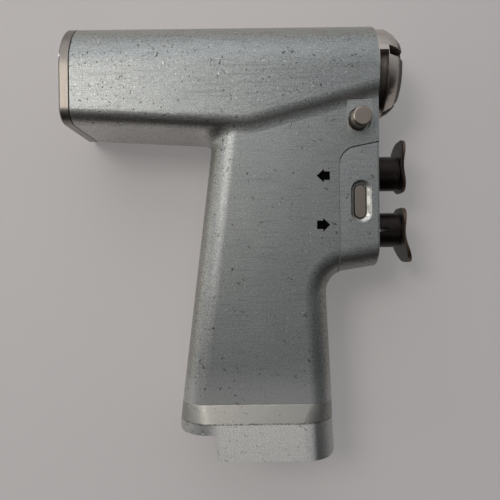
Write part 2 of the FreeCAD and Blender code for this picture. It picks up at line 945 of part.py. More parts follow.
def drive_spindle():
    """Hollow output spindle with a hexagon socket that drives the attachment."""
    start = gear_front + side_clearance
    shaft = rod(spindle_radius, start, spindle_boss_rear)
    boss = rod(spindle_boss_radius, spindle_boss_rear, spindle_front)
    reach = socket_across_flats / math.sqrt(3)
    socket = section_prism(hexagon(reach), spindle_front - socket_depth, spindle_front + 1)
    return shaft.fuse(boss).cut([rod(spindle_bore, start - 1, spindle_front), socket])


def bearing(outer, inner, start, width):
    """Ball bearing as one ring with a groove in its front face that parts its races."""
    middle_r = (outer + inner) / 2
    half = (outer - inner) / 6
    front = start + width
    groove = ring(middle_r + half, middle_r - half, front - bearing_groove, front + 1)
    return ring(outer, inner, start, front).cut(groove)


def rotor_shaft():
    """Hollow shaft of the motor."""
    start = stator_front - stator_length - end_plate_thickness - shaft_tail
    end = gear_front + side_clearance
    shaft = rod(shaft_radius - shaft_step, start, end).fuse(rod(shaft_radius, start, shaft_step_front))
    return shaft.cut(rod(shaft_bore, start - 1, end + 1))


def rotor_magnets():
    """Magnet sleeve bonded to the shaft."""
    centre = stator_front - stator_length / 2
    half = magnet_length / 2
    return ring(magnet_radius, shaft_radius + fit_gap, centre - half, centre + half)


def stator_core():
    """Laminated ring with inward teeth."""
    rear = stator_front - stator_length
    outer = bore_radius - fit_gap
    back = ring(outer, outer - stator_back_iron, rear, stator_front)
    root = outer - stator_back_iron / 2
    tooth = block((rear, stator_front), (stator_inner_radius, root), (-tooth_width / 2, tooth_width / 2))
    teeth = []
    for i in range(slot_count):
        teeth.append(turn_about_x(tooth, i * 360 / slot_count))
    return back.fuse(teeth).cut(rod(stator_inner_radius, rear - 1, stator_front + 1))


def stator_windings():
    """One coil around each stator tooth."""
    rear = stator_front - stator_length
    overhang = winding_room - side_clearance
    inner_r = stator_inner_radius + winding_tooth_tip
    outer_r = bore_radius - stator_back_iron - winding_air
    half_inner = tooth_width / 2 + fit_gap
    half_outer = half_inner + winding_thickness
    outer = block((rear - overhang, stator_front + overhang), (inner_r, outer_r), (-half_outer, half_outer))
    core = block((rear - fit_gap, stator_front + fit_gap), (0, 2 * outer_r), (-half_inner, half_inner))
    coil = outer.cut(core)
    return Part.makeCompound([turn_about_x(coil, i * 360 / slot_count) for i in range(slot_count)])


def front_end_plate():
    """Motor end plate with its bearing's seat in front and a rim that meets the stator."""
    start = front_plate_front - end_plate_thickness
    plate = rod(bore_radius - fit_gap, stator_front, front_plate_front)
    seat_start = bearing_start(front_plate_front) - fit_gap
    seat = rod(motor_bearing_radius + fit_gap, seat_start, front_plate_front + 1)
    room = rod(bore_radius - end_rim_wall, stator_front - 1, start)
    return plate.cut([seat, room, rod(shaft_radius + shaft_air, start - 1, front_plate_front)])


def rear_end_plate():
    """Motor end plate with its bearing's seat in front and rims to the stator and the cap's seal."""
    front = rear_plate_front()
    start = front - end_plate_thickness
    plate = rod(bore_radius - fit_gap, barrel_rear, stator_front - stator_length)
    seat = rod(motor_bearing_radius + fit_gap, bearing_start(front) - fit_gap, front + 1)
    front_room = rod(bore_radius - end_rim_wall, front, front + winding_room + 1)
    rear_room = rod(bore_radius - end_rim_wall, barrel_rear - 1, start)
    return plate.cut([seat, front_room, rear_room, rod(shaft_radius + shaft_air, start - 1, front)])


def bearing_start(plate_front):
    """Rear face of the bearing seated in an end plate."""
    return plate_front - motor_bearing_width - motor_bearing_setback


def motor_bearing(plate_front):
    """Bearing seated in an end plate."""
    start = bearing_start(plate_front)
    return bearing(motor_bearing_radius, shaft_radius + fit_gap, start, motor_bearing_width)


def rear_plate_front():
    """Front face of the motor's rear end plate, behind the windings."""
    return stator_front - stator_length - winding_room


def drive_spacer():
    """Sleeve between the two spindle bearings."""
    start = spindle_bearing_rear
    end = spindle_bearing_front - bearing_width
    return ring(bore_radius - fit_gap, bore_radius - spacer_wall, start, end)


def wire_tube():
    """Fixed tube that guides a wire through cap, motor and spindle."""
    back = barrel_rear - cap_gasket - cap_thickness
    return ring(wire_tube_outer, wire_tube_inner, back, wire_tube_front)


def trigger_plate(z_low, z_high, curl):
    """Finger plate, hollow to the front, with rounded corners and an optional curled lower tip."""
    middle_z = (z_low + z_high) / 2
    front = plate_front
    back = front - plate_thickness
    side = side_prism(
        [
            (front, z_high, plate_edge),
            (front - plate_hollow, middle_z, plate_hollow_radius),
            (front + curl, z_low, plate_edge),
            (back + curl, z_low, plate_edge),
            (back - plate_hollow, middle_z, plate_hollow_radius),
            (back, z_high, plate_edge),
        ],
        plate_width / 2,
    )
    half = plate_width / 2
    shape = section_prism(
        [
            (half, z_low, plate_corner),
            (half, z_high, plate_corner),
            (-half, z_high, plate_corner),
            (-half, z_low, plate_corner),
        ],
        back - 3,
        front + 3,
    )
    return side.common(shape)


def trigger(z, up, down, curl, slotted):
    """Trigger: finger plate, stem and slim tail in one."""
    plate = trigger_plate(z - down, z + up, curl)
    stem = rod(stem_radius, stem_shoulder, plate_front - plate_hollow - plate_thickness / 2, z=z)
    tail = rod(tail_radius, tail_rear, stem_shoulder, z=z)
    body = plate.fuse([stem, tail])
    cuts = [rod(magnet_disc_radius + fit_gap, tail_rear - 1, tail_rear + magnet_disc_length, z=z)]
    if slotted:
        half_x = stem_slot_length / 2
        half_z = stem_slot_width / 2
        corner = half_z - 0.001
        cuts.append(
            side_prism(
                [
                    (stem_slot_x - half_x, z - half_z, corner),
                    (stem_slot_x + half_x, z - half_z, corner),
                    (stem_slot_x + half_x, z + half_z, corner),
                    (stem_slot_x - half_x, z + half_z, corner),
                ],
                stem_radius + 1,
            )
        )
    return body.cut(cuts)


def trigger_magnet(z):
    """Magnet in the end of a trigger's tail, read by a sensor on the board."""
    return rod(magnet_disc_radius, tail_rear, tail_rear + magnet_disc_length - fit_gap, z=z)


def trigger_seals():
    """Wiper rings in the cover's front face, one round each stem."""
    rings = []
    for z in (upper_trigger_z, lower_trigger_z):
        outer = stem_radius + seal_wall - fit_gap
        start = barrel_front - seal_length
        rings.append(ring(outer, stem_radius + running_clearance, start, barrel_front, z=z))
    return Part.makeCompound(rings)


def trigger_spring(z):
    """Return spring between a tail's end and the spring plate, as a sleeve of the coil's size."""
    outer = spring_radius + spring_wire / 2
    inner = spring_radius - spring_wire / 2
    return ring(outer, inner, spring_plate_front + fit_gap, tail_rear - fit_gap, z=z)


def bay_plate(front, thickness):
    """Plate that spans the bay behind the triggers."""
    x_range = (front - thickness, front)
    return block(x_range, (-board_half_width, board_half_width), (board_bottom, board_top))


def spring_plate():
    """Plate that carries the trigger springs in front of the board."""
    return bay_plate(spring_plate_front, spring_plate_thickness)


def control_board():
    """Circuit board behind the spring plate."""
    return bay_plate(spring_plate_front - spring_plate_thickness, board_thickness)


def spread(count, pitch):
    """Places of a row centred on zero."""
    return [pitch * (i - (count - 1) / 2) for i in range(count)]


def board_components():
    """Capacitors and a field of power switches on the board's back."""
    face = spring_plate_front - spring_plate_thickness - board_thickness
    parts = []
    capacitor_z = board_top - 2 * capacitor_radius
    for y in spread(capacitor_count, capacitor_pitch):
        parts.append(rod(capacitor_radius, face - capacitor_length, face, y, capacitor_z))
    half_y = switch_width / 2
    half_z = switch_height / 2
    for row in range(switch_rows):
        z = board_top - switch_drop - switch_row_pitch * row
        for y in spread(switch_columns, switch_column_pitch):
            sides = (y - half_y, y + half_y)
            parts.append(block((face - switch_thickness, face), sides, (z - half_z, z + half_z)))
    return Part.makeCompound(parts)


def contact_block():
    """Insulating block in the battery pocket's roof."""
    half = contact_half_width
    flange = block(contact_flange_x, (-half, half), (battery_roof - contact_flange_drop, battery_roof))
    plug_half = contact_plug_half_width
    plug = block(contact_plug_x, (-plug_half, plug_half), (battery_roof - 1, contact_plug_top))
    return flange.fuse(plug)


def battery_contacts():
    """Blades that meet the battery's terminals."""
    top = battery_roof - contact_flange_drop
    centre = (contact_flange_x[0] + contact_flange_x[1]) / 2
    x_range = (centre - contact_blade_length / 2, centre + contact_blade_length / 2)
    half = contact_thickness / 2
    blades = []
    for y in spread(contact_count, contact_pitch):
        blades.append(block(x_range, (y - half, y + half), (top - contact_drop, top)))
    return Part.makeCompound(blades)


def mode_selector():
    """Cross bolt: near head and the slim neck between the stems."""
    near = -grip_half_width + selector_sink
    head = obround(0.0, selector_height, near, near + selector_head)
    neck = obround(0.0, selector_neck_height, near + selector_head, -near - selector_head + selector_travel)
    return head.fuse(neck)


def selector_end():
    """Far head, fixed on the neck's end."""
    near = grip_half_width - selector_sink + selector_travel
    return obround(0.0, selector_height, near - selector_head, near)


def selector_detent():
    """Ball that holds the cross bolt in its two places."""
    face = selector_x - selector_width / 2
    centre = face - detent_radius - running_clearance
    return Part.makeSphere(detent_radius, FreeCAD.Vector(centre, 0, selector_z))


def detent_spring():
    """Spring behind the detent ball."""
    end = selector_x - selector_width / 2 - 2 * detent_radius - 2 * running_clearance
    outer = detent_radius - detent_spring_inset
    return ring(outer, outer - detent_spring_wire, cover_seam_x + cover_gap, end, z=selector_z)


def release_button():
    """Steel button on the neck's side, with a waisted stem that moves the lock pin."""
    outer = -grip_half_width - button_proud
    head_end = outer + button_head_length
    step = button_stem_radius - button_waist_radius
    waist_start = -lock_pin_foot_radius - button_travel - side_clearance
    waist_end_y = lock_pin_foot_radius - button_travel
    ramp = step * button_travel / lock_pin_travel
    profile = [
        (outer, 0),
        (outer, button_radius - button_chamfer),
        (outer + button_chamfer, button_radius),
        (head_end, button_radius),
        (head_end, button_stem_radius),
        (waist_start - step, button_stem_radius),
        (waist_start, button_waist_radius),
        (waist_end_y, button_waist_radius),
        (waist_end_y + ramp, button_stem_radius),
        (button_stem_end, button_stem_radius),
        (button_stem_end, 0),
    ]
    vectors = [FreeCAD.Vector(button_x + r, y, button_z) for y, r in profile]
    face = Part.Face(Part.makePolygon(vectors + [vectors[0]]))
    return face.revolve(FreeCAD.Vector(button_x, 0, button_z), Y_AXIS, 360)


def release_button_bush():
    """Sleeve that guides the button's head."""
    start = -grip_half_width + button_bush_sink
    end = start + button_bush_length
    outer = bar(button_hole_radius - fit_gap, button_x, button_z, start, end)
    hole = bar(button_radius + running_clearance, button_x, button_z, start - 1, end + 1)
    return outer.cut(hole)


def release_button_spring():
    """Return spring under the button's head."""
    start = -grip_half_width - button_proud + button_head_length + fit_gap
    end = button_hole_floor - fit_gap
    outer_radius = button_radius - button_spring_inset
    outer = bar(outer_radius, button_x, button_z, start, end)
    return outer.cut(bar(outer_radius - button_spring_wire, button_x, button_z, start - 1, end + 1))


def lock_pin():
    """Pin that rises into the collar's bore and holds the attachment."""
    foot = Part.makeCylinder(
        lock_pin_foot_radius, lock_pin_foot_height, FreeCAD.Vector(button_x, 0, lock_pin_foot)
    )
    height = lock_pin_tip - lock_pin_foot
    shaft = Part.makeCylinder(lock_pin_radius, height, FreeCAD.Vector(button_x, 0, lock_pin_foot))
    tip = [e for e in shaft.Edges if abs(middle(e).z - lock_pin_tip) < 0.01 and e.Closed]
    return shaft.makeChamfer(lock_pin_chamfer, tip).fuse(foot)


def lock_pin_spring():
    """Spring that pulls the lock pin down when the button is pressed."""
    start = lock_pin_foot + lock_pin_foot_height + fit_gap
    height = lock_pin_spring_top - fit_gap - start
    place = FreeCAD.Vector(button_x, 0, start)
    outer = Part.makeCylinder(lock_pin_foot_radius, height, place)
    return outer.cut(Part.makeCylinder(lock_pin_radius + lock_pin_spring_air, height, place))


def pieces():
    """Every piece by its node's name."""
    made = {
        "main_housing": main_housing(),
        "trigger_housing": trigger_housing(),
        "cover_gasket": cover_gasket(),
        "cover_screws": cover_screws(),
        "rear_cap": rear_cap(),
        "rear_gasket": rear_gasket(),
        "rear_cap_screws": rear_cap_screws(),
        "nose_collar": nose_collar(),
        "nose_seal": nose_seal(),
        "wire_tube": wire_tube(),
        "stator_core": stator_core(),
        "stator_windings": stator_windings(),
        "front_end_plate": front_end_plate(),
        "rear_end_plate": rear_end_plate(),
        "front_motor_bearing": motor_bearing(front_plate_front),
        "rear_motor_bearing": motor_bearing(rear_plate_front()),
        "rotor_shaft": rotor_shaft(),
        "rotor_magnets": rotor_magnets(),
        "sun_gear": sun_gear(),
        "ring_gear": ring_gear(),
        "planet_carrier": planet_carrier(),
        "drive_spindle": drive_spindle(),
        "drive_spacer": drive_spacer(),
        "upper_trigger": trigger(upper_trigger_z, upper_plate_up, upper_plate_down, 0.0, False),
        "lower_trigger": trigger(lower_trigger_z, lower_plate_up, lower_plate_down, lower_tip_curl, True),
        "upper_trigger_magnet": trigger_magnet(upper_trigger_z),
        "lower_trigger_magnet": trigger_magnet(lower_trigger_z),
        "upper_trigger_spring": trigger_spring(upper_trigger_z),
        "lower_trigger_spring": trigger_spring(lower_trigger_z),
        "trigger_seals": trigger_seals(),
        "spring_plate": spring_plate(),
        "control_board": control_board(),
        "board_components": board_components(),
        "contact_block": contact_block(),
        "battery_contacts": battery_contacts(),
        "mode_selector": mode_selector(),
        "selector_end": selector_end(),
        "selector_detent": selector_detent(),
        "detent_spring": detent_spring(),
        "release_button": release_button(),
        "release_button_bush": release_button_bush(),
        "release_button_spring": release_button_spring(),
        "lock_pin": lock_pin(),
        "lock_pin_spring": lock_pin_spring(),
    }
    bearing_outer = bore_radius - fit_gap
    bearing_inner = spindle_radius + fit_gap
    for name, front in (("front", spindle_bearing_front), ("rear", spindle_bearing_rear)):
        start = front - bearing_width
        made[name + "_spindle_bearing"] = bearing(bearing_outer, bearing_inner, start, bearing_width)
    for number, angle in enumerate(planet_angles(), 1):
        made["planet_gear_%d" % number] = planet_gear(angle)
    return made


def main():
    """Write one file per piece."""
    os.makedirs("parts", exist_ok=True)
    for name, shape in pieces().items():
        shape.exportStep("parts/" + name + ".step")
        print(name, shape.isValid(), round(shape.Volume, 1), len(shape.Solids))


if __name__ == "__main__":
    main()
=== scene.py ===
import json
import math

import bmesh
import bpy
from mathutils import Matrix, Vector

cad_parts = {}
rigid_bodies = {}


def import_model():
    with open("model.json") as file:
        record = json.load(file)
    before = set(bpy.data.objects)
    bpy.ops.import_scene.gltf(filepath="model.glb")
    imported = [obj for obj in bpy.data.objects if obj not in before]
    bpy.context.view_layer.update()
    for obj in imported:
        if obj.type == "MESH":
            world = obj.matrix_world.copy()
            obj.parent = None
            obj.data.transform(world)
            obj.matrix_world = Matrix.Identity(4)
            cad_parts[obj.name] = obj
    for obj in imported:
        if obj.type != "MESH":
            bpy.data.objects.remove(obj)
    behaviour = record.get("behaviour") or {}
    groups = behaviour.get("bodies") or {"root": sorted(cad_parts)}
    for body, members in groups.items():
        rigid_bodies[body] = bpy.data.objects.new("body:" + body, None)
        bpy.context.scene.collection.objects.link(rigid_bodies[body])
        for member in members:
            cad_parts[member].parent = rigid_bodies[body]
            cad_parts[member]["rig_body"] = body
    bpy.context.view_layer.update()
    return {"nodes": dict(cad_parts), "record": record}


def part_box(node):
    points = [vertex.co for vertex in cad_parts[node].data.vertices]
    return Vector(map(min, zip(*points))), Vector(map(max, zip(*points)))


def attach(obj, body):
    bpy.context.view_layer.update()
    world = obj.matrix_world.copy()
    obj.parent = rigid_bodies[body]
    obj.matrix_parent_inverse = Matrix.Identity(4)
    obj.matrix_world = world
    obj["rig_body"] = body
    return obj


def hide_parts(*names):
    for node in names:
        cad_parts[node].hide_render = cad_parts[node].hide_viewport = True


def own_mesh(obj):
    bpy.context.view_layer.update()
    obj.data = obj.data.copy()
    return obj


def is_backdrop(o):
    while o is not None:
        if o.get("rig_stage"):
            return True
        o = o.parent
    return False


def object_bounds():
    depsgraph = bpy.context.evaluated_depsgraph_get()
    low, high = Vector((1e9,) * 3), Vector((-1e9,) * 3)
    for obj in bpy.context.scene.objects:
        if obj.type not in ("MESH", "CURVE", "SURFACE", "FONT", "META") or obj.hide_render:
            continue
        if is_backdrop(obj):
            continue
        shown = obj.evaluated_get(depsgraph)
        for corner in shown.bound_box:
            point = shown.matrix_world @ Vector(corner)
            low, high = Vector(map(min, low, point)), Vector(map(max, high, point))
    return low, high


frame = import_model()

bl_info = {
    "name": "Surgical Drill Finish",
    "version": (1, 0, 0),
    "blender": (4, 5, 0),
    "location": "View3D > Sidebar > Drill",
    "description": "Dresses the drill's pieces with their surfaces, marks and light",
    "category": "Object",
}

MM = 0.001


# Places that the finishes read, in millimetres

def box_mm(node):
    """Lowest and highest corner of a node at rest, in millimetres."""
    low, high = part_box(node)
    return low / MM, high / MM


selector_low, selector_high = box_mm("mode_selector")
SELECTOR = (selector_low + selector_high) / 2
SELECTOR_RADIUS = (selector_high.x - selector_low.x) / 2
SELECTOR_STRAIGHT = (selector_high.z - selector_low.z) / 2 - SELECTOR_RADIUS

button_low, button_high = box_mm("release_button")
BUTTON = (button_low + button_high) / 2
bush_low, bush_high = box_mm("release_button_bush")
BUSH_RADIUS = (bush_high.x - bush_low.x) / 2

COLLAR_RADIUS = box_mm("nose_collar")[1].z
GROOVE_DEPTH = 2.0

# Depths below the spindle of the ledge over the skirt, and where the skirt's flat begins
SKIRT_END = -1.0 * box_mm("main_housing")[0].z
LEDGE_TOP = SKIRT_END - 19.5
LEDGE_FOOT = SKIRT_END - 13.2
SKIRT_REAR = -70.0

# Height where the gasket changes from open to dusty, and the back of the finger plates
GASKET_TURN = -35.5
PLATE_BACK = 1.3

# How far painted shade reaches past the selector and the bush, and how deep the near side begins
SELECTOR_SHADE_REACH = 0.48
BUSH_SHADOW_REACH = 0.19
NEAR_SIDE = 8.0

# Machined flat round the button: its half sizes, its rise over the button and its level
FLAT_HALF_WIDTH = 4.5
FLAT_HALF_HEIGHT = 5.9
FLAT_RISE = 1.5
FLAT_LEVEL = 16.6

# Dish round the selector: its shift, radius and level, and where its bare front and foot begin
DISH_SHIFT = 0.4
DISH_RADIUS = 3.2
DISH_LEVEL = 15.6
DISH_FRONT = 2.5
DISH_FOOT = 6.2


# Nodes

class Value:
    """One socket that takes part in Python arithmetic."""

    def __init__(self, tree, socket):
        self.tree = tree
        self.socket = socket

    def math(self, operation, *values):
        """Math node on this socket and other values."""
        sockets = dict(enumerate((self,) + values))
        return self.tree.node("ShaderNodeMath", {"operation": operation}, sockets)

    def __add__(self, other):
        return self.math("ADD", other)

    __radd__ = __add__

    def __mul__(self, other):
        return self.math("MULTIPLY", other)

    __rmul__ = __mul__

    def __sub__(self, other):
        return self.math("SUBTRACT", other)

    def __rsub__(self, other):
        return self.tree.node("ShaderNodeMath", {"operation": "SUBTRACT"}, {0: other, 1: self})

    def __pow__(self, other):
        return self.math("POWER", other)

    def above(self, level, width):
        """0 below the level and 1 above it, with a soft step of the width to either side."""
        sockets = {0: self, 1: level - width, 2: level + width, 3: 0.0, 4: 1.0}
        return self.tree.node("ShaderNodeMapRange", {"interpolation_type": "SMOOTHSTEP"}, sockets)

    def below(self, level, width):
        """1 below the level and 0 above it, with the same soft step."""
        return 1.0 - self.above(level, width)

    def most(self, other):
        """The larger of two values."""
        return self.math("MAXIMUM", other)

    def size(self):
        """The value without its sign."""
        return self.math("ABSOLUTE")


class Tree:
    """A node tree under construction."""

    def __init__(self, tree):
        self.tree = tree
        self.tree.nodes.clear()

    def node(self, kind, settings=None, sockets=None, output=0):
        """Add a node: its settings first, then the values or links of its sockets."""
        made = self.tree.nodes.new(kind)
        for key, value in (settings or {}).items():
            setattr(made, key, value)
        for key, value in (sockets or {}).items():
            if isinstance(value, Value):
                self.tree.links.new(value.socket, made.inputs[key])
            else:
                made.inputs[key].default_value = value
        return Value(self, made.outputs[output])


class Shader(Tree):
    """The nodes of a material or of the world."""

    def __init__(self, owner, output="ShaderNodeOutputMaterial"):
        owner.use_nodes = True
        super().__init__(owner.node_tree)
        self.owner = owner
        self.output = output

    def place(self, stretch=(1.0, 1.0, 1.0), turn=(0.0, 0.0, 0.0)):
        """Object coordinates in millimetres, turned and then stretched."""
        coordinates = self.node("ShaderNodeTexCoord", output="Object")
        scale = tuple(MM / s for s in stretch)
        sockets = {"Vector": coordinates, "Rotation": turn, "Scale": scale}
        return self.node("ShaderNodeMapping", {"vector_type": "TEXTURE"}, sockets)

    def noise(self, size, detail=2.0, rough=0.5, **pattern):
        """Soft noise from 0 to 1 with features of a size in millimetres."""
        sockets = {"Vector": self.place(**pattern), "Scale": 1 / size}
        sockets.update({"Detail": detail, "Roughness": rough})
        return self.node("ShaderNodeTexNoise", {}, sockets)

    def cells(self, size):
        """Distance to scattered points, a size in millimetres apart."""
        return self.node("ShaderNodeTexVoronoi", {}, {"Vector": self.place(), "Scale": 1 / size})

    def axis(self, letter):
        """One coordinate in millimetres."""
        return self.node("ShaderNodeSeparateXYZ", {}, {0: self.place()}, output=letter)

    def away(self, letter):
        """One coordinate in millimetres, counted towards the negative side."""
        return -1.0 * self.axis(letter)

    def toward(self, letter):
        """How far the surface looks along an axis of the piece, from -1 to 1."""
        normal = self.node("ShaderNodeTexCoord", output="Normal")
        return self.node("ShaderNodeSeparateXYZ", {}, {0: normal}, output=letter)

    def facing(self, letter):
        """How far the surface looks along an axis either way, from 0 to 1."""
        return self.toward(letter).size()

    def radius(self, first, second, centre=(0.0, 0.0)):
        """Distance from a line along the third axis, in millimetres."""
        a = self.axis(first) - centre[0]
        b = self.axis(second) - centre[1]
        return (a * a + b * b) ** 0.5

    def mix(self, share, first, second):
        """Colour between two colours."""
        sockets = {0: share, 6: first, 7: second}
        return self.node("ShaderNodeMix", {"data_type": "RGBA"}, sockets, output=2)

    def bump(self, height, distance, strength):
        """Normal from a height, its depth in millimetres."""
        sockets = {"Strength": strength, "Distance": distance * MM, "Height": height}
        return self.node("ShaderNodeBump", {}, sockets)

    def finish(self, colour, metallic, roughness, normal, **constants):
        """Close the material with one Principled shader."""
        sockets = {"Base Color": colour, "Metallic": metallic, "Roughness": roughness}
        sockets["Normal"] = normal
        sockets.update(constants)
        return self.close(self.node("ShaderNodeBsdfPrincipled", {}, sockets))

    def close(self, surface):
        """Join a surface to the output, and give the finished material or world."""
        output = self.tree.nodes.new(self.output)
        self.tree.links.new(surface.socket, output.inputs["Surface"])
        return self.owner


def rgb(red, green, blue):
    """Colour for a socket, from linear values."""
    return (red, green, blue, 1.0)


def tint(colour, share=1.0):
    """Colour for a socket, made darker or paler by a share."""
    return rgb(*[min(1.0, c * share) for c in colour])


def new_material(name):
    """Shader on a new material."""
    return Shader(bpy.data.materials.new(name))


# Materials

NICK_DIRT = rgb(0.070, 0.060, 0.044)
SPECK_DIRT = rgb(0.085, 0.078, 0.060)
PAINTED_GAP_SHADE = rgb(0.020, 0.018, 0.016)
SCRATCH = rgb(0.11, 0.105, 0.085)
FINE_LINE = rgb(0.14, 0.15, 0.15)
DULL_GRAIN = rgb(0.13, 0.135, 0.125)
BRIGHT_GRAIN = rgb(0.70, 0.70, 0.66)
BRIGHT_CHIP = rgb(0.78, 0.78, 0.74)
BARE_ALLOY = rgb(0.66, 0.66, 0.62)
LOWER_GRIP_HIGHLIGHT = rgb(0.66, 0.66, 0.66)
UNDERSIDE_TABLE_REFLECTION = rgb(0.30, 0.288, 0.285)
LEDGE_WARM_REFLECTION = rgb(0.315, 0.310, 0.282)
SKIRT_HIGHLIGHT_DULL = rgb(0.66, 0.65, 0.64)
SKIRT_HIGHLIGHT_BRIGHT = rgb(1.0, 1.0, 0.98)
STEEL_PIT = rgb(0.09, 0.08, 0.06)
STEEL_RECESS_SHADE = rgb(0.060, 0.054, 0.050)
COAT_DARK = rgb(0.009, 0.007, 0.007)
COAT_PALE = rgb(0.034, 0.026, 0.022)
DUST_DARK = rgb(0.16, 0.163, 0.150)
DUST_PALE = rgb(0.27, 0.272, 0.25)
OPEN_GAP_SHADE_AND_DIRT = rgb(0.006, 0.006, 0.006)
PAINT_DARK = rgb(0.002, 0.002, 0.002)
PAINT_PALE = rgb(0.012, 0.012, 0.012)


def cast_alloy(name, worked, shade, tone=1.0):
    """Blasted cast aluminium: fine sparkle, rounded edges with a warm painted reflection of the
    table, dark nicks, scratches and pale chips.

    worked gives how far a place is rubbed or machined bare, shade how far painted shade darkens
    it.
    """
    casting = bpy.context.scene.drill_casting
    s = new_material(name)
    grain = s.noise(0.34, 2.0, 0.8)
    speckle = s.noise(0.85, 3.0, 0.85)
    patches = s.noise(17.0, 4.0, 0.6)
    lines = s.noise(0.55, 2.0, stretch=(0.05, 1.0, 1.0))

    # edge marks the rounded edges: nicks and chips gather there as real wear, and the edges take a
    # warm painted reflection of the table
    edge = s.facing("Y").below(0.80, 0.17)
    down = (-1.0 * s.toward("Z")).above(0.35, 0.25)
    rear = s.axis("X").below(-77.5, 27.5)
    depth = s.away("Z")
    ledge = depth.above(LEDGE_TOP, 0.5) * depth.below(LEDGE_FOOT, 0.4)
    skirt = depth.above(LEDGE_FOOT + 0.1, 0.3) * s.facing("Y").above(0.94, 0.04)
    skirt = skirt * s.axis("X").above(SKIRT_REAR, 3.0)
    seam = (depth - LEDGE_FOOT).size().below(0.28, 0.10)

    crowd = s.noise(7.0, 3.0, 0.6) + rear * 0.10 + edge * 0.07
    pits = s.noise(0.95, 2.0, stretch=(1.0, 1.0, 0.6), turn=(0.0, 0.5, 0.0))
    nick = pits.above(0.675, 0.02) * crowd.above(0.53, 0.04)
    specks = s.noise(0.55, 1.0).above(0.72, 0.02) * crowd.above(0.46, 0.06)
    cuts = s.noise(0.8, 1.0, stretch=(1.0, 1.0, 0.22), turn=(0.0, -0.9, 0.0)).above(0.725, 0.02)
    cuts = cuts * s.noise(9.0, 2.0).above(0.52, 0.05)
    chip = s.noise(0.75, 1.0).above(0.75, 0.02) * crowd.above(0.48, 0.05)

    flats = s.mix(patches, tint(casting.flat_dark, tone), tint(casting.flat_pale, tone))
    # edges is the warm tint of the rounded edges, a painted reflection of the table
    edges = s.mix(patches, tint(casting.edge_reflection_dark), tint(casting.edge_reflection_pale))
    base = s.mix(edge * 0.8, flats, edges)
    # Down-facing faces take the table's tone: a painted reflection of the table
    base = s.mix(down * 0.7, base, UNDERSIDE_TABLE_REFLECTION)
    base = s.mix((0.56 - speckle).above(0.07, 0.09) * 0.30, base, DULL_GRAIN)
    base = s.mix(grain.above(0.57, 0.08) * (0.40 + edge * 0.30), base, BRIGHT_GRAIN)
    base = s.mix((lines - 0.5).above(0.10, 0.08) * 0.25, base, FINE_LINE)
    # Paler towards the grip's foot: a painted highlight where the flat flares out
    base = s.mix(depth.above(LEDGE_TOP - 7.7, 8.0) * 0.45, base, LOWER_GRIP_HIGHLIGHT)
    # Warm tone on the sloping ledge: the same painted reflection of the table as on the rounded
    # edges
    base = s.mix(ledge * 0.75, base, LEDGE_WARM_REFLECTION)
    # The skirt's flat is painted far paler than the flats: a painted highlight, with the blasted
    # grain's real sparkle in it
    base = s.mix(skirt, base, s.mix(grain.above(0.50, 0.20), SKIRT_HIGHLIGHT_DULL, SKIRT_HIGHLIGHT_BRIGHT))
    base = s.mix(seam * speckle.above(0.48, 0.06) * 0.7, base, SPECK_DIRT)
    base = s.mix(nick * 0.85, base, NICK_DIRT)
    base = s.mix(specks * 0.7, base, SPECK_DIRT)
    base = s.mix(cuts * 0.75, base, SCRATCH)
    base = s.mix(chip * 0.7, base, BRIGHT_CHIP)
    base = s.mix(worked(s) * (0.6 + speckle * 0.4), base, BARE_ALLOY)
    # Near black where shade falls: painted shade in the gap round the selector and a painted
    # shadow round the button's bush
    base = s.mix(shade(s), base, PAINTED_GAP_SHADE)

    height = grain * 0.7 + speckle * 0.6 + lines * 0.08 - nick * 1.3 - cuts * 0.9
    rough = 0.35 + grain * 0.12 + speckle * 0.08 + skirt * 0.22
    return s.finish(base, 1.0, rough, s.bump(height, 0.10, 0.8))


def slot_distance(s, middle, straight):
    """Distance from the middle line of an upright slot in the grip's side, in millimetres."""
    across = s.axis("X") - middle
    along = ((s.axis("Z") - SELECTOR.z).size() - straight).most(0.0)
    return (across * across + along * along) ** 0.5


def slot_shade(s):
    """Painted shade round the mode selector, standing for the dark gap about it."""
    reach = slot_distance(s, SELECTOR.x, SELECTOR_STRAIGHT)
    return reach.below(SELECTOR_RADIUS + SELECTOR_SHADE_REACH, 0.10) * 0.9


def bush_shade(s):
    """Painted shadow round the release button's bush, on its own side only."""
    ring = s.radius("X", "Z", (BUTTON.x, BUTTON.z)).below(BUSH_RADIUS + BUSH_SHADOW_REACH, 0.15)
    return ring * s.away("Y").above(NEAR_SIDE, 1.0) * 0.8


def spot_face(s):
    """Machined flat round the release button."""
    across = (s.axis("X") - BUTTON.x).size()
    up = (s.axis("Z") - (BUTTON.z + FLAT_RISE)).size()
    inside = across.below(FLAT_HALF_WIDTH, 0.25) * up.below(FLAT_HALF_HEIGHT, 0.3)
    flat = s.facing("Y").above(0.97, 0.01) * s.away("Y").above(FLAT_LEVEL, 0.1)
    return inside * flat * (0.08 + s.noise(2.5, 3.0) * 0.30)


def thumb_dish(s):
    """Dish round the mode selector, rubbed bare and chipped on its front and lower side."""
    middle = SELECTOR.x + DISH_SHIFT
    across = s.axis("X") - middle
    reach = slot_distance(s, middle, SELECTOR_STRAIGHT + 0.05)
    ragged = s.noise(1.5, 2.0) * 1.1
    ring = reach.below(DISH_RADIUS, 0.25) * s.away("Y").above(DISH_LEVEL, 0.2)
    chips = s.cells(1.7).below(0.50, 0.08)
    front = (across + ragged).above(DISH_FRONT, 0.3) * (0.12 + chips * 0.88)
    foot = (SELECTOR.z - s.axis("Z") + ragged).above(DISH_FOOT, 0.5)
    return ring * (front.most(foot) * 0.9).most(0.12)


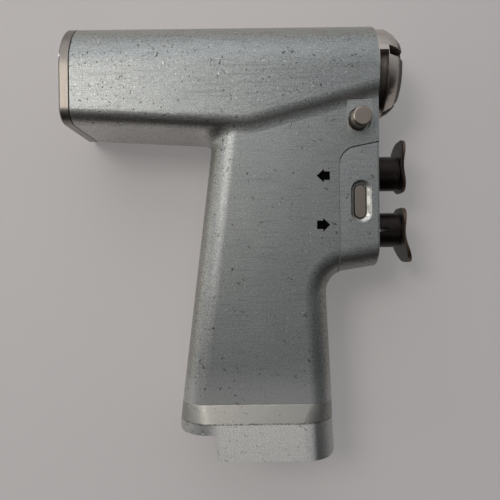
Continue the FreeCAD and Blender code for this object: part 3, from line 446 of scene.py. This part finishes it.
def bright_steel(name, colour, rough, lay, recess_shade=None):
    """Polished stainless steel with a fine lay, smudges and small specks."""
    s = new_material(name)
    lines = s.noise(0.30, 2.0, stretch=lay)
    smudge = s.noise(4.0, 4.0, 0.6)
    pits = s.noise(0.7, 2.0).above(0.74, 0.02) * smudge.above(0.5, 0.06)
    base = s.mix(smudge, tint(colour, 0.80), tint(colour, 1.10))
    base = s.mix(lines * 0.25, base, tint(colour, 0.55))
    base = s.mix(pits * 0.7, base, STEEL_PIT)
    rough = rough + lines * 0.10 + smudge * 0.08
    if recess_shade is not None:
        # Painted shade darkens and roughens the recesses that the given mask marks
        dirt = recess_shade(s) * (0.75 + smudge * 0.25)
        base = s.mix(dirt * 0.9, base, STEEL_RECESS_SHADE)
        rough = rough + dirt * 0.25
    height = lines * 0.25 + smudge * 0.3 - pits * 0.8
    return s.finish(base, 1.0, rough, s.bump(height, 0.02, 0.5))


def groove_shade(s):
    """Painted shade in the collar's groove and slots, below its outer skin."""
    skin = s.radius("Y", "Z") + s.noise(1.2, 2.0) * 0.6
    return skin.below(COLLAR_RADIUS - GROOVE_DEPTH, 0.7)


def dark_coat(name):
    """Brown-black coating, rubbed through to bronze along the finger plates' rims."""
    s = new_material(name)
    fine = s.noise(0.4, 3.0)
    rub = s.noise(2.2, 4.0, 0.65)
    plate = s.axis("X").above(PLATE_BACK, 0.25)
    front = s.toward("X")
    rim = front.above(-0.10, 0.08) * front.below(0.88, 0.08) * plate
    worn = (rim * (0.20 + rub * 0.8)).most(rub.above(0.66, 0.05) * 0.30) * (0.55 + fine * 0.45)
    base = s.mix(rub, COAT_DARK, COAT_PALE)
    base = s.mix(worn, base, tint(bpy.context.scene.drill_triggers.bronze))
    height = fine * 0.4 - worn * 0.3
    return s.finish(base, 0.75, 0.26 + rub * 0.16 + fine * 0.05, s.bump(height, 0.03, 0.5))


def turned_metal(name, colour, rough, lay):
    """Machined metal with tool lines across its lay."""
    s = new_material(name)
    lines = s.noise(0.22, 2.0, stretch=lay)
    base = s.mix(s.noise(4.0, 3.0), tint(colour, 0.8), tint(colour, 1.1))
    return s.finish(base, 1.0, rough + lines * 0.15, s.bump(lines, 0.015, 0.5))


def moulded(name, colour, rough):
    """Moulded plastic or rubber with a fine texture."""
    s = new_material(name)
    grain = s.noise(0.35, 2.0)
    base = s.mix(s.noise(6.0, 3.0), tint(colour, 0.8), tint(colour, 1.25))
    return s.finish(base, 0.0, rough + grain * 0.12, s.bump(grain, 0.02, 0.4))


def gasket_line(name):
    """Cover's gasket: painted near black along its open top as shade in the gap, filled with pale
    dust with dark specks lower down.
    """
    s = new_material(name)
    dust = s.noise(1.4, 4.0, 0.7)
    open_top = s.axis("Z").above(GASKET_TURN, 1.5)
    dirt = dust.above(0.60, 0.06)
    base = s.mix(dust, DUST_DARK, DUST_PALE)
    # Near black: painted shade along the open top of the gap, and dark dirt specks in the dust
    base = s.mix(open_top.most(dirt * 0.8), base, OPEN_GAP_SHADE_AND_DIRT)
    constants = {"Specular IOR Level": 0.15}
    return s.finish(base, 0.0, 0.75 + dust * 0.15, s.bump(dust, 0.02, 0.4), **constants)


def mark_paint(name):
    """Matt black marking paint, a little thin in places."""
    s = new_material(name)
    thin = s.noise(0.5, 3.0)
    base = s.mix(thin.above(0.70, 0.04), PAINT_DARK, PAINT_PALE)
    constants = {"Specular IOR Level": 0.02}
    return s.finish(base, 0.0, 0.85 + thin * 0.1, s.bump(thin, 0.01, 0.3), **constants)


def table_top(name, colour, glow, glow_share):
    """Pale table that shows from its front only, a little of its tone free of the lamps."""
    s = new_material(name)
    base = s.mix(s.noise(60.0, 3.0), tint(colour, 0.985), tint(colour, 1.01))
    base = s.mix(s.noise(0.6, 3.0) * 0.10, base, tint(colour, 0.9))
    shaded = s.node("ShaderNodeBsdfPrincipled", {}, {"Base Color": base, "Roughness": 0.7})
    plain = s.node("ShaderNodeEmission", {}, {"Color": base, "Strength": glow})
    rays = s.node("ShaderNodeLightPath", output="Is Camera Ray")
    for kind in ("Is Glossy Ray", "Is Transmission Ray"):
        rays = rays.most(s.node("ShaderNodeLightPath", output=kind))
    front = s.node("ShaderNodeMixShader", {}, {0: rays * glow_share, 1: shaded, 2: plain})
    clear = s.node("ShaderNodeBsdfTransparent")
    back = s.node("ShaderNodeNewGeometry", output="Backfacing")
    shadow = s.node("ShaderNodeLightPath", output="Is Shadow Ray")
    return s.close(s.node("ShaderNodeMixShader", {}, {0: back.most(shadow), 1: front, 2: clear}))


# How a pattern is stretched: tool lines that run along the barrel, or round it
ALONG_X = (0.05, 1.0, 1.0)
AROUND_X = (1.0, 0.08, 0.08)


def stainless():
    """Steel of the selector and the button, in the colour that the settings give."""
    return bright_steel("stainless steel", bpy.context.scene.drill_steel.bolts, 0.28, AROUND_X)


FINISHES = {
    "cast_body": lambda: cast_alloy("cast alloy", spot_face, bush_shade),
    "stainless": stainless,
    "dark_metal": lambda: dark_coat("dark coat"),
    "steel": lambda: turned_metal("ground steel", (0.56, 0.56, 0.56), 0.26, AROUND_X),
    "spring_steel": lambda: turned_metal("spring wire", (0.36, 0.36, 0.38), 0.30, ALONG_X),
    "core_steel": lambda: turned_metal("core laminations", (0.20, 0.20, 0.21), 0.45, AROUND_X),
    "copper": lambda: turned_metal("copper winding", (0.75, 0.36, 0.18), 0.30, ALONG_X),
    "magnet": lambda: turned_metal("plated magnet", (0.42, 0.42, 0.44), 0.22, ALONG_X),
    "light_alloy": lambda: turned_metal("turned aluminium", (0.72, 0.72, 0.73), 0.30, AROUND_X),
    "seal": lambda: moulded("seal rubber", (0.006, 0.006, 0.006), 0.80),
    "board": lambda: moulded("board laminate", (0.02, 0.13, 0.06), 0.38),
    "insulator": lambda: moulded("black moulding", (0.025, 0.025, 0.028), 0.48),
    "contact": lambda: turned_metal("contact plating", (0.83, 0.62, 0.26), 0.22, ALONG_X),
}


def finish_of(slot):
    """The material of a slot, made once."""
    made = bpy.data.materials.get("slot " + slot)
    if made is None:
        made = FINISHES[slot]()
        made.name = "slot " + slot
    return made


def slot_of(node):
    """Material slot that the record gives a node."""
    for part in frame["record"]["subparts"]:
        if part["node"] == node:
            return part["material_slot"]
    raise RuntimeError("no material slot for " + node)


def body_of(node):
    """Body that a node rides on."""
    return frame["nodes"][node]["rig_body"]


# Shaping helpers

def new_piece(name, mesh, body, slot):
    """Object for a finished mesh, with its finish, riding on its body."""
    piece = bpy.data.objects.new(name, mesh)
    bpy.context.scene.collection.objects.link(piece)
    mesh.materials.clear()
    mesh.materials.append(finish_of(slot))
    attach(piece, body)
    return piece


MERGE = 0.002 * MM
LEVEL = math.radians(0.6)
SHARP = math.radians(32)


def clean_copy(node, name):
    """Mesh of a node with its doubles merged and its flat faces joined."""
    mesh = frame["nodes"][node].data.copy()
    mesh.name = name
    shape = bmesh.new()
    shape.from_mesh(mesh)
    bmesh.ops.remove_doubles(shape, verts=shape.verts, dist=MERGE)
    bmesh.ops.dissolve_limit(
        shape, angle_limit=LEVEL, verts=shape.verts, edges=shape.edges, delimit={"NORMAL"}
    )
    for face in shape.faces:
        face.smooth = True
    shape.to_mesh(mesh)
    shape.free()
    if "custom_normal" in mesh.attributes:
        mesh.attributes.remove(mesh.attributes["custom_normal"])
    return mesh


def with_broken_edges(node, width):
    """Piece that stands for a node, its sharp edges rounded by a width."""
    name = node + "_shape"
    piece = new_piece(name, clean_copy(node, name), body_of(node), slot_of(node))
    edge = piece.modifiers.new("edges", "BEVEL")
    edge.width = width
    edge.segments = 2
    edge.limit_method = "ANGLE"
    edge.angle_limit = SHARP
    edge.harden_normals = True
    edge.miter_outer = "MITER_ARC"
    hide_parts(node)
    return piece


# Coil springs

COIL_INPUTS = {
    "Radius": "NodeSocketFloat",
    "Wire": "NodeSocketFloat",
    "Length": "NodeSocketFloat",
    "Turns": "NodeSocketFloat",
    "Finish": "NodeSocketMaterial",
}


def coil_tree():
    """Geometry nodes for a spring along Z, a dead turn at each end, centred on its length."""
    group = bpy.data.node_groups.new("coil spring", "GeometryNodeTree")
    for name, kind in COIL_INPUTS.items():
        group.interface.new_socket(name, in_out="INPUT", socket_type=kind)
    group.interface.new_socket("Geometry", in_out="OUTPUT", socket_type="NodeSocketGeometry")
    t = Tree(group)
    radius, wire, length, count, finish = [
        t.node("NodeGroupInput", output=name) for name in COIL_INPUTS
    ]
    centre = radius - wire * 0.5
    low = wire * 0.5 - length * 0.5
    first_free = low + wire
    free = length - wire * 3.0

    def turns(rotations, height, start):
        """Wire's middle line over some turns, from a start along the spring."""
        sockets = {"Resolution": 24, "Rotations": rotations, "Height": height}
        sockets.update({"Start Radius": centre, "End Radius": centre})
        spiral = t.node("GeometryNodeCurveSpiral", {}, sockets)
        shift = t.node("ShaderNodeCombineXYZ", {}, {"Z": start})
        return t.node("GeometryNodeTransform", {}, {"Geometry": spiral, "Translation": shift})

    join = group.nodes.new("GeometryNodeJoinGeometry")
    for rotations, height, start in (
        (1.0, wire, low), (count, free, first_free), (1.0, wire, first_free + free)
    ):
        group.links.new(turns(rotations, height, start).socket, join.inputs[0])
    circle = {"Resolution": 10, "Radius": wire * 0.5}
    profile = t.node("GeometryNodeCurvePrimitiveCircle", {}, circle)
    tube = t.node("GeometryNodeCurveToMesh", {}, {"Profile Curve": profile, "Fill Caps": True})
    group.links.new(join.outputs[0], tube.socket.node.inputs["Curve"])
    smooth = t.node("GeometryNodeSetShadeSmooth", {}, {0: tube})
    whole = t.node("GeometryNodeRealizeInstances", {}, {0: smooth})
    dressed = t.node("GeometryNodeSetMaterial", {}, {"Geometry": whole, "Material": finish})
    group.links.new(dressed.socket, group.nodes.new("NodeGroupOutput").inputs[0])
    return group


def coil_spring(tree, node, turns, wire, letter):
    """Coil in the space of a spring's node, its length along X or Y."""
    low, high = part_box(node)
    size = high - low
    along = "XYZ".index(letter)
    maker = bpy.data.objects.new(node + "_maker", bpy.data.meshes.new(node + "_maker"))
    bpy.context.scene.collection.objects.link(maker)
    coil = maker.modifiers.new("coil", "NODES")
    coil.node_group = tree
    values = {"Radius": size.z / 2, "Wire": wire, "Length": size[along], "Turns": float(turns)}
    values["Finish"] = finish_of(slot_of(node))
    for item in tree.interface.items_tree:
        if item.in_out == "INPUT":
            coil[item.identifier] = values[item.name]
    bpy.context.view_layer.update()
    graph = bpy.context.evaluated_depsgraph_get()
    mesh = bpy.data.meshes.new_from_object(maker.evaluated_get(graph))
    bpy.data.objects.remove(maker)
    upright = Matrix.Rotation(math.radians(90), 4, "Y" if letter == "X" else "X")
    mesh.transform(Matrix.Translation((low + high) / 2) @ upright)
    piece = new_piece(node + "_coil", mesh, body_of(node), slot_of(node))
    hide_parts(node)
    return piece


# Settings

def colour_setting(name, description, default):
    """Setting for a colour."""
    return bpy.props.FloatVectorProperty(
        name=name, description=description, default=default, subtype="COLOR", min=0.0, max=1.0
    )


def length_setting(name, description, default):
    """Setting for a length in metres."""
    return bpy.props.FloatProperty(
        name=name, description=description, default=default, unit="LENGTH"
    )


class CastingSettings(bpy.types.PropertyGroup):
    """Colours of the housing and of the cover"""

    flat_dark: colour_setting(
        "Flats, dark", "Darker patches of the casting's flat faces", (0.240, 0.262, 0.270)
    )
    flat_pale: colour_setting(
        "Flats, pale", "Paler patches of the casting's flat faces", (0.335, 0.355, 0.354)
    )
    # The edge colours are a warm painted reflection of the table on the casting's rounded edges;
    # the nicks and chips there are the real wear
    edge_reflection_dark: colour_setting(
        "Edges, dark", "Darker patches of the casting's worn edges", (0.300, 0.294, 0.258)
    )
    edge_reflection_pale: colour_setting(
        "Edges, pale", "Paler patches of the casting's worn edges", (0.420, 0.413, 0.366)
    )
    cover_tone: bpy.props.FloatProperty(
        name="Cover tone", description="How much paler the cover is than the grip", default=1.22
    )


class SteelSettings(bpy.types.PropertyGroup):
    """Edges and colours of the steel pieces"""

    edge: length_setting("Edge rounding", "Rounding of the steel pieces' edges", 0.18 * MM)
    bolts: colour_setting(
        "Bolt and button", "Steel of the selector and the button", (0.385, 0.335, 0.29)
    )
    plate: colour_setting("Rear plate", "Steel of the rear plate", (0.25, 0.230, 0.208))
    collar: colour_setting("Nose collar", "Steel of the nose collar", (0.60, 0.55, 0.50))


class TriggerSettings(bpy.types.PropertyGroup):
    """Edges and colour of the triggers"""

    edge: length_setting("Edge rounding", "Rounding of the triggers' edges", 0.36 * MM)
    bronze: colour_setting("Bronze", "Metal under the triggers' coating", (0.23, 0.155, 0.110))


class MarkSettings(bpy.types.PropertyGroup):
    """Places and size of the direction arrows"""

    upper: bpy.props.FloatVectorProperty(
        name="Upper arrow", description="Middle of the upper arrow in the side view",
        default=(-29.85 * MM, -40.9 * MM), size=2, unit="LENGTH",
    )
    lower: bpy.props.FloatVectorProperty(
        name="Lower arrow", description="Middle of the lower arrow in the side view",
        default=(-30.1 * MM, -58.3 * MM), size=2, unit="LENGTH",
    )
    length: length_setting("Length", "Length of an arrow", 4.9 * MM)
    paint: length_setting("Paint", "How far the paint stands on the casting", 0.03 * MM)


class SpringSettings(bpy.types.PropertyGroup):
    """Turns and wires of the coil springs"""

    trigger_turns: bpy.props.IntProperty(
        name="Trigger spring turns", description="Working turns of each trigger's spring",
        default=7, min=2,
    )
    trigger_wire: length_setting("Trigger wire", "Wire of each trigger's spring", 0.9 * MM)
    button_turns: bpy.props.IntProperty(
        name="Button spring turns", description="Working turns of the release button's spring",
        default=4, min=2,
    )
    button_wire: length_setting("Button wire", "Wire of the release button's spring", 0.8 * MM)
    detent_turns: bpy.props.IntProperty(
        name="Detent spring turns", description="Working turns of the detent's spring",
        default=4, min=2,
    )
    detent_wire: length_setting("Detent wire", "Wire of the detent's spring", 0.35 * MM)


class StageSettings(bpy.types.PropertyGroup):
    """Camera, table and room"""

    distance: length_setting("Distance", "Camera to the drill's middle plane", 194 * MM)
    across: length_setting("Across", "Camera's place along the barrel", -56.2 * MM)
    height: length_setting("Height", "Camera's height against the spindle", -66.9 * MM)
    roll: bpy.props.FloatProperty(
        name="Roll", description="Turn of the picture", default=math.radians(-0.7),
        subtype="ANGLE",
    )
    table: colour_setting("Table", "Colour of the table", (0.63, 0.603, 0.598))
    reach: length_setting("Table reach", "Half the table's width", 0.9)
    glow: bpy.props.FloatProperty(
        name="Table glow", description="Tone of the table that no shadow reaches", default=0.72
    )
    glow_share: bpy.props.FloatProperty(
        name="Glow share", description="Share of that tone in the table", default=0.38,
        subtype="FACTOR", min=0.0, max=1.0,
    )
    room: bpy.props.FloatProperty(
        name="Room", description="Strength of the room's light", default=0.60
    )


SETTINGS = {
    "drill_casting": CastingSettings,
    "drill_steel": SteelSettings,
    "drill_triggers": TriggerSettings,
    "drill_marks": MarkSettings,
    "drill_springs": SpringSettings,
    "drill_stage": StageSettings,
}


# Operators

class DRILL_OT_cad_finishes(bpy.types.Operator):
    """Give every carried-over node its slot's finish"""

    bl_idname = "drill.cad_finishes"
    bl_label = "Inner pieces"

    def execute(self, context):
        for node, piece in frame["nodes"].items():
            piece.data.materials.clear()
            piece.data.materials.append(finish_of(slot_of(node)))
        return {"FINISHED"}


class DRILL_OT_castings(bpy.types.Operator):
    """Give the cover and its gasket their own finishes, with the rubbed dish at the selector"""

    bl_idname = "drill.castings"
    bl_label = "Cover and gasket"

    def execute(self, context):
        tone = context.scene.drill_casting.cover_tone
        cover = cast_alloy("cover casting", thumb_dish, slot_shade, tone)
        frame["nodes"]["trigger_housing"].data.materials[0] = cover
        frame["nodes"]["cover_gasket"].data.materials[0] = gasket_line("cover gasket line")
        return {"FINISHED"}


class DRILL_OT_steelwork(bpy.types.Operator):
    """Round the edges of the steel pieces that show"""

    bl_idname = "drill.steelwork"
    bl_label = "Steel pieces"

    def execute(self, context):
        steel = context.scene.drill_steel
        for node in ("mode_selector", "selector_end", "release_button"):
            with_broken_edges(node, steel.edge)
        plate = with_broken_edges("rear_cap", steel.edge)
        plate.data.materials[0] = bright_steel("plate steel", steel.plate, 0.34, AROUND_X)
        collar = with_broken_edges("nose_collar", steel.edge)
        collar.data.materials[0] = bright_steel(
            "collar steel", steel.collar, 0.24, AROUND_X, groove_shade
        )
        return {"FINISHED"}


class DRILL_OT_triggers(bpy.types.Operator):
    """Round the edges of both triggers"""

    bl_idname = "drill.triggers"
    bl_label = "Triggers"

    def execute(self, context):
        for node in ("upper_trigger", "lower_trigger"):
            with_broken_edges(node, context.scene.drill_triggers.edge)
        return {"FINISHED"}


class DRILL_OT_springs(bpy.types.Operator):
    """Wind the return springs of the triggers, the button and the selector's detent"""

    bl_idname = "drill.springs"
    bl_label = "Coil springs"

    def execute(self, context):
        springs = context.scene.drill_springs
        tree = coil_tree()
        for name in ("upper_trigger", "lower_trigger"):
            node = name + "_spring"
            piece = coil_spring(tree, node, springs.trigger_turns, springs.trigger_wire, "X")
            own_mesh(piece)
        node = "release_button_spring"
        piece = coil_spring(tree, node, springs.button_turns, springs.button_wire, "Y")
        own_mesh(piece)
        coil_spring(tree, "detent_spring", springs.detent_turns, springs.detent_wire, "X")
        return {"FINISHED"}


ARROW_OUTLINE = (
    (0.5, 0.0), (-0.02, 0.5), (-0.02, 0.31), (-0.46, 0.31),
    (-0.46, -0.31), (-0.02, -0.31), (-0.02, -0.5),
)


def arrow_mesh(name, middle, marks, pointing):
    """Flat arrow on the grip's side, its point to -X or +X."""
    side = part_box("trigger_housing")[0].y
    sunk = 0.05 * MM
    shape = bmesh.new()
    corners = []
    for along, up in ARROW_OUTLINE:
        x = middle[0] + pointing * along * marks.length
        corners.append(shape.verts.new((x, side - marks.paint, middle[1] + up * marks.length)))
    face = shape.faces.new(corners)
    made = bmesh.ops.extrude_face_region(shape, geom=[face])
    moved = [v for v in made["geom"] if isinstance(v, bmesh.types.BMVert)]
    bmesh.ops.translate(shape, verts=moved, vec=(0, sunk, 0))
    bmesh.ops.recalc_face_normals(shape, faces=shape.faces)
    mesh = bpy.data.meshes.new(name)
    shape.to_mesh(mesh)
    shape.free()
    return mesh


class DRILL_OT_marks(bpy.types.Operator):
    """Print the two direction arrows on the grip"""

    bl_idname = "drill.marks"
    bl_label = "Direction arrows"

    def execute(self, context):
        marks = context.scene.drill_marks
        paint = mark_paint("marking paint")
        for name, middle, pointing in (
            ("upper_arrow", marks.upper, -1), ("lower_arrow", marks.lower, 1)
        ):
            mesh = arrow_mesh(name, middle, marks, pointing)
            piece = new_piece(name, mesh, "housing", "insulator")
            piece.data.materials[0] = paint
        return {"FINISHED"}


# Lens as long as the sensor is wide, and the nearest that the camera sees, in metres
SENSOR = 36.0
NEAREST = 0.01

# Lamps: name, place from the picture's middle and size in metres, watts and colour
LAMPS = (
    ("window", (-0.34, -0.68, 0.24), 0.24, 1.9, (1.0, 0.94, 0.87)),
    ("room", (-0.2, -0.5, 0.75), 0.7, 1.45, (1.0, 1.0, 1.0)),
    ("side", (-0.85, -0.28, 0.08), 0.5, 1.0, (1.0, 0.98, 0.95)),
    ("low", (0.09, -0.65, -0.30), 0.16, 0.18, (1.0, 1.0, 1.0)),
    ("behind", (-0.2, 0.7, 0.6), 0.8, 3.0, (1.0, 1.0, 0.96)),
    ("under", (-0.35, 0.6, -0.45), 0.5, 1.4, (1.0, 0.97, 0.97)),
)

# Room: heights where its floor ends and its ceiling begins, their tones, and the plain background
FLOOR_HEIGHT = -0.24
CEILING_HEIGHT = 0.60
FLOOR = rgb(0.012, 0.012, 0.012)
CEILING = rgb(0.95, 0.96, 1.0)
BACKGROUND = rgb(0.42, 0.41, 0.405)


class DRILL_OT_stage(bpy.types.Operator):
    """Set up the table, the lamps and the camera"""

    bl_idname = "drill.stage"
    bl_label = "Table, light and camera"

    def execute(self, context):
        stage = context.scene.drill_stage
        self.lay_table(context, stage)
        self.set_camera(context, stage)
        self.set_light(context, stage)
        context.scene.view_settings.view_transform = "Standard"
        return {"FINISHED"}

    def lay_table(self, context, stage):
        """Large sheet just behind the drill, which lies on its side in the picture."""
        gap = 0.05 * MM
        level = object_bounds()[1][1] + gap
        mesh = bpy.data.meshes.new("table")
        corners = [
            (stage.across + a * stage.reach, level, stage.height + b * stage.reach)
            for a, b in ((-1, -1), (1, -1), (1, 1), (-1, 1))
        ]
        mesh.from_pydata(corners, [], [(0, 1, 2, 3)])
        table = bpy.data.objects.new("table", mesh)
        context.scene.collection.objects.link(table)
        mesh.materials.append(table_top("table top", stage.table, stage.glow, stage.glow_share))
        table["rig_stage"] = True

    def set_camera(self, context, stage):
        """Camera square to the drill's side, its lens as long as its sensor is wide."""
        data = bpy.data.cameras.new("camera")
        data.sensor_width = SENSOR
        data.lens = SENSOR
        data.clip_start = NEAREST
        camera = bpy.data.objects.new("camera", data)
        context.scene.collection.objects.link(camera)
        upright = Matrix.Rotation(math.radians(90), 4, "X") @ Matrix.Rotation(stage.roll, 4, "Z")
        place = Matrix.Translation((stage.across, -stage.distance, stage.height))
        camera.matrix_world = place @ upright
        context.scene.camera = camera

    def set_light(self, context, stage):
        """Soft lamps from the upper left and the left, weak ones below and behind, and a room."""
        middle = Vector((stage.across, 0.0, stage.height))
        for name, place, size, power, colour in LAMPS:
            data = bpy.data.lights.new(name, "AREA")
            data.color = colour
            data.size = size
            data.energy = power
            lamp = bpy.data.objects.new(name, data)
            context.scene.collection.objects.link(lamp)
            lamp.location = middle + Vector(place)
            lamp.rotation_euler = (middle - lamp.location).to_track_quat("-Z", "Y").to_euler()
        context.scene.world = self.make_room(stage.room)

    def make_room(self, strength):
        """World of a pale room with a darker floor, plain grey where the camera sees it."""
        s = Shader(bpy.data.worlds.new("room"), "ShaderNodeOutputWorld")
        place = s.node("ShaderNodeTexCoord", output="Generated")
        height = s.node("ShaderNodeSeparateXYZ", {}, {0: place}, output="Z")
        sockets = {0: height, 1: FLOOR_HEIGHT, 2: CEILING_HEIGHT, 3: 0.0, 4: 1.0}
        tone = s.mix(s.node("ShaderNodeMapRange", {}, sockets), FLOOR, CEILING)
        lit = s.node("ShaderNodeBackground", {}, {"Color": tone, "Strength": strength})
        seen = s.node("ShaderNodeBackground", {}, {"Color": BACKGROUND})
        rays = s.node("ShaderNodeLightPath", output="Is Camera Ray")
        return s.close(s.node("ShaderNodeMixShader", {}, {0: rays, 1: lit, 2: seen}))


class DRILL_PT_panel(bpy.types.Panel):
    """Sidebar panel with the drill's settings and steps"""

    bl_idname = "DRILL_PT_panel"
    bl_label = "Drill"
    bl_space_type = "VIEW_3D"
    bl_region_type = "UI"
    bl_category = "Drill"

    def draw(self, context):
        for operator in OPERATORS:
            self.layout.operator(operator.bl_idname)
        for name, group in SETTINGS.items():
            values = getattr(context.scene, name)
            for key in group.__annotations__:
                self.layout.prop(values, key)


OPERATORS = (
    DRILL_OT_cad_finishes,
    DRILL_OT_castings,
    DRILL_OT_steelwork,
    DRILL_OT_triggers,
    DRILL_OT_springs,
    DRILL_OT_marks,
    DRILL_OT_stage,
)


def register():
    """Add the settings, the operators and the panel."""
    for group in SETTINGS.values():
        bpy.utils.register_class(group)
    for name, group in SETTINGS.items():
        setattr(bpy.types.Scene, name, bpy.props.PointerProperty(type=group))
    for operator in OPERATORS:
        bpy.utils.register_class(operator)
    bpy.utils.register_class(DRILL_PT_panel)


def unregister():
    """Take everything away again."""
    bpy.utils.unregister_class(DRILL_PT_panel)
    for operator in reversed(OPERATORS):
        bpy.utils.unregister_class(operator)
    for name in SETTINGS:
        delattr(bpy.types.Scene, name)
    for group in SETTINGS.values():
        bpy.utils.unregister_class(group)


def main():
    """Run every step in order."""
    register()
    bpy.ops.drill.cad_finishes()
    bpy.ops.drill.castings()
    bpy.ops.drill.steelwork()
    bpy.ops.drill.triggers()
    bpy.ops.drill.springs()
    bpy.ops.drill.marks()
    bpy.ops.drill.stage()


if __name__ == "__main__":
    main()
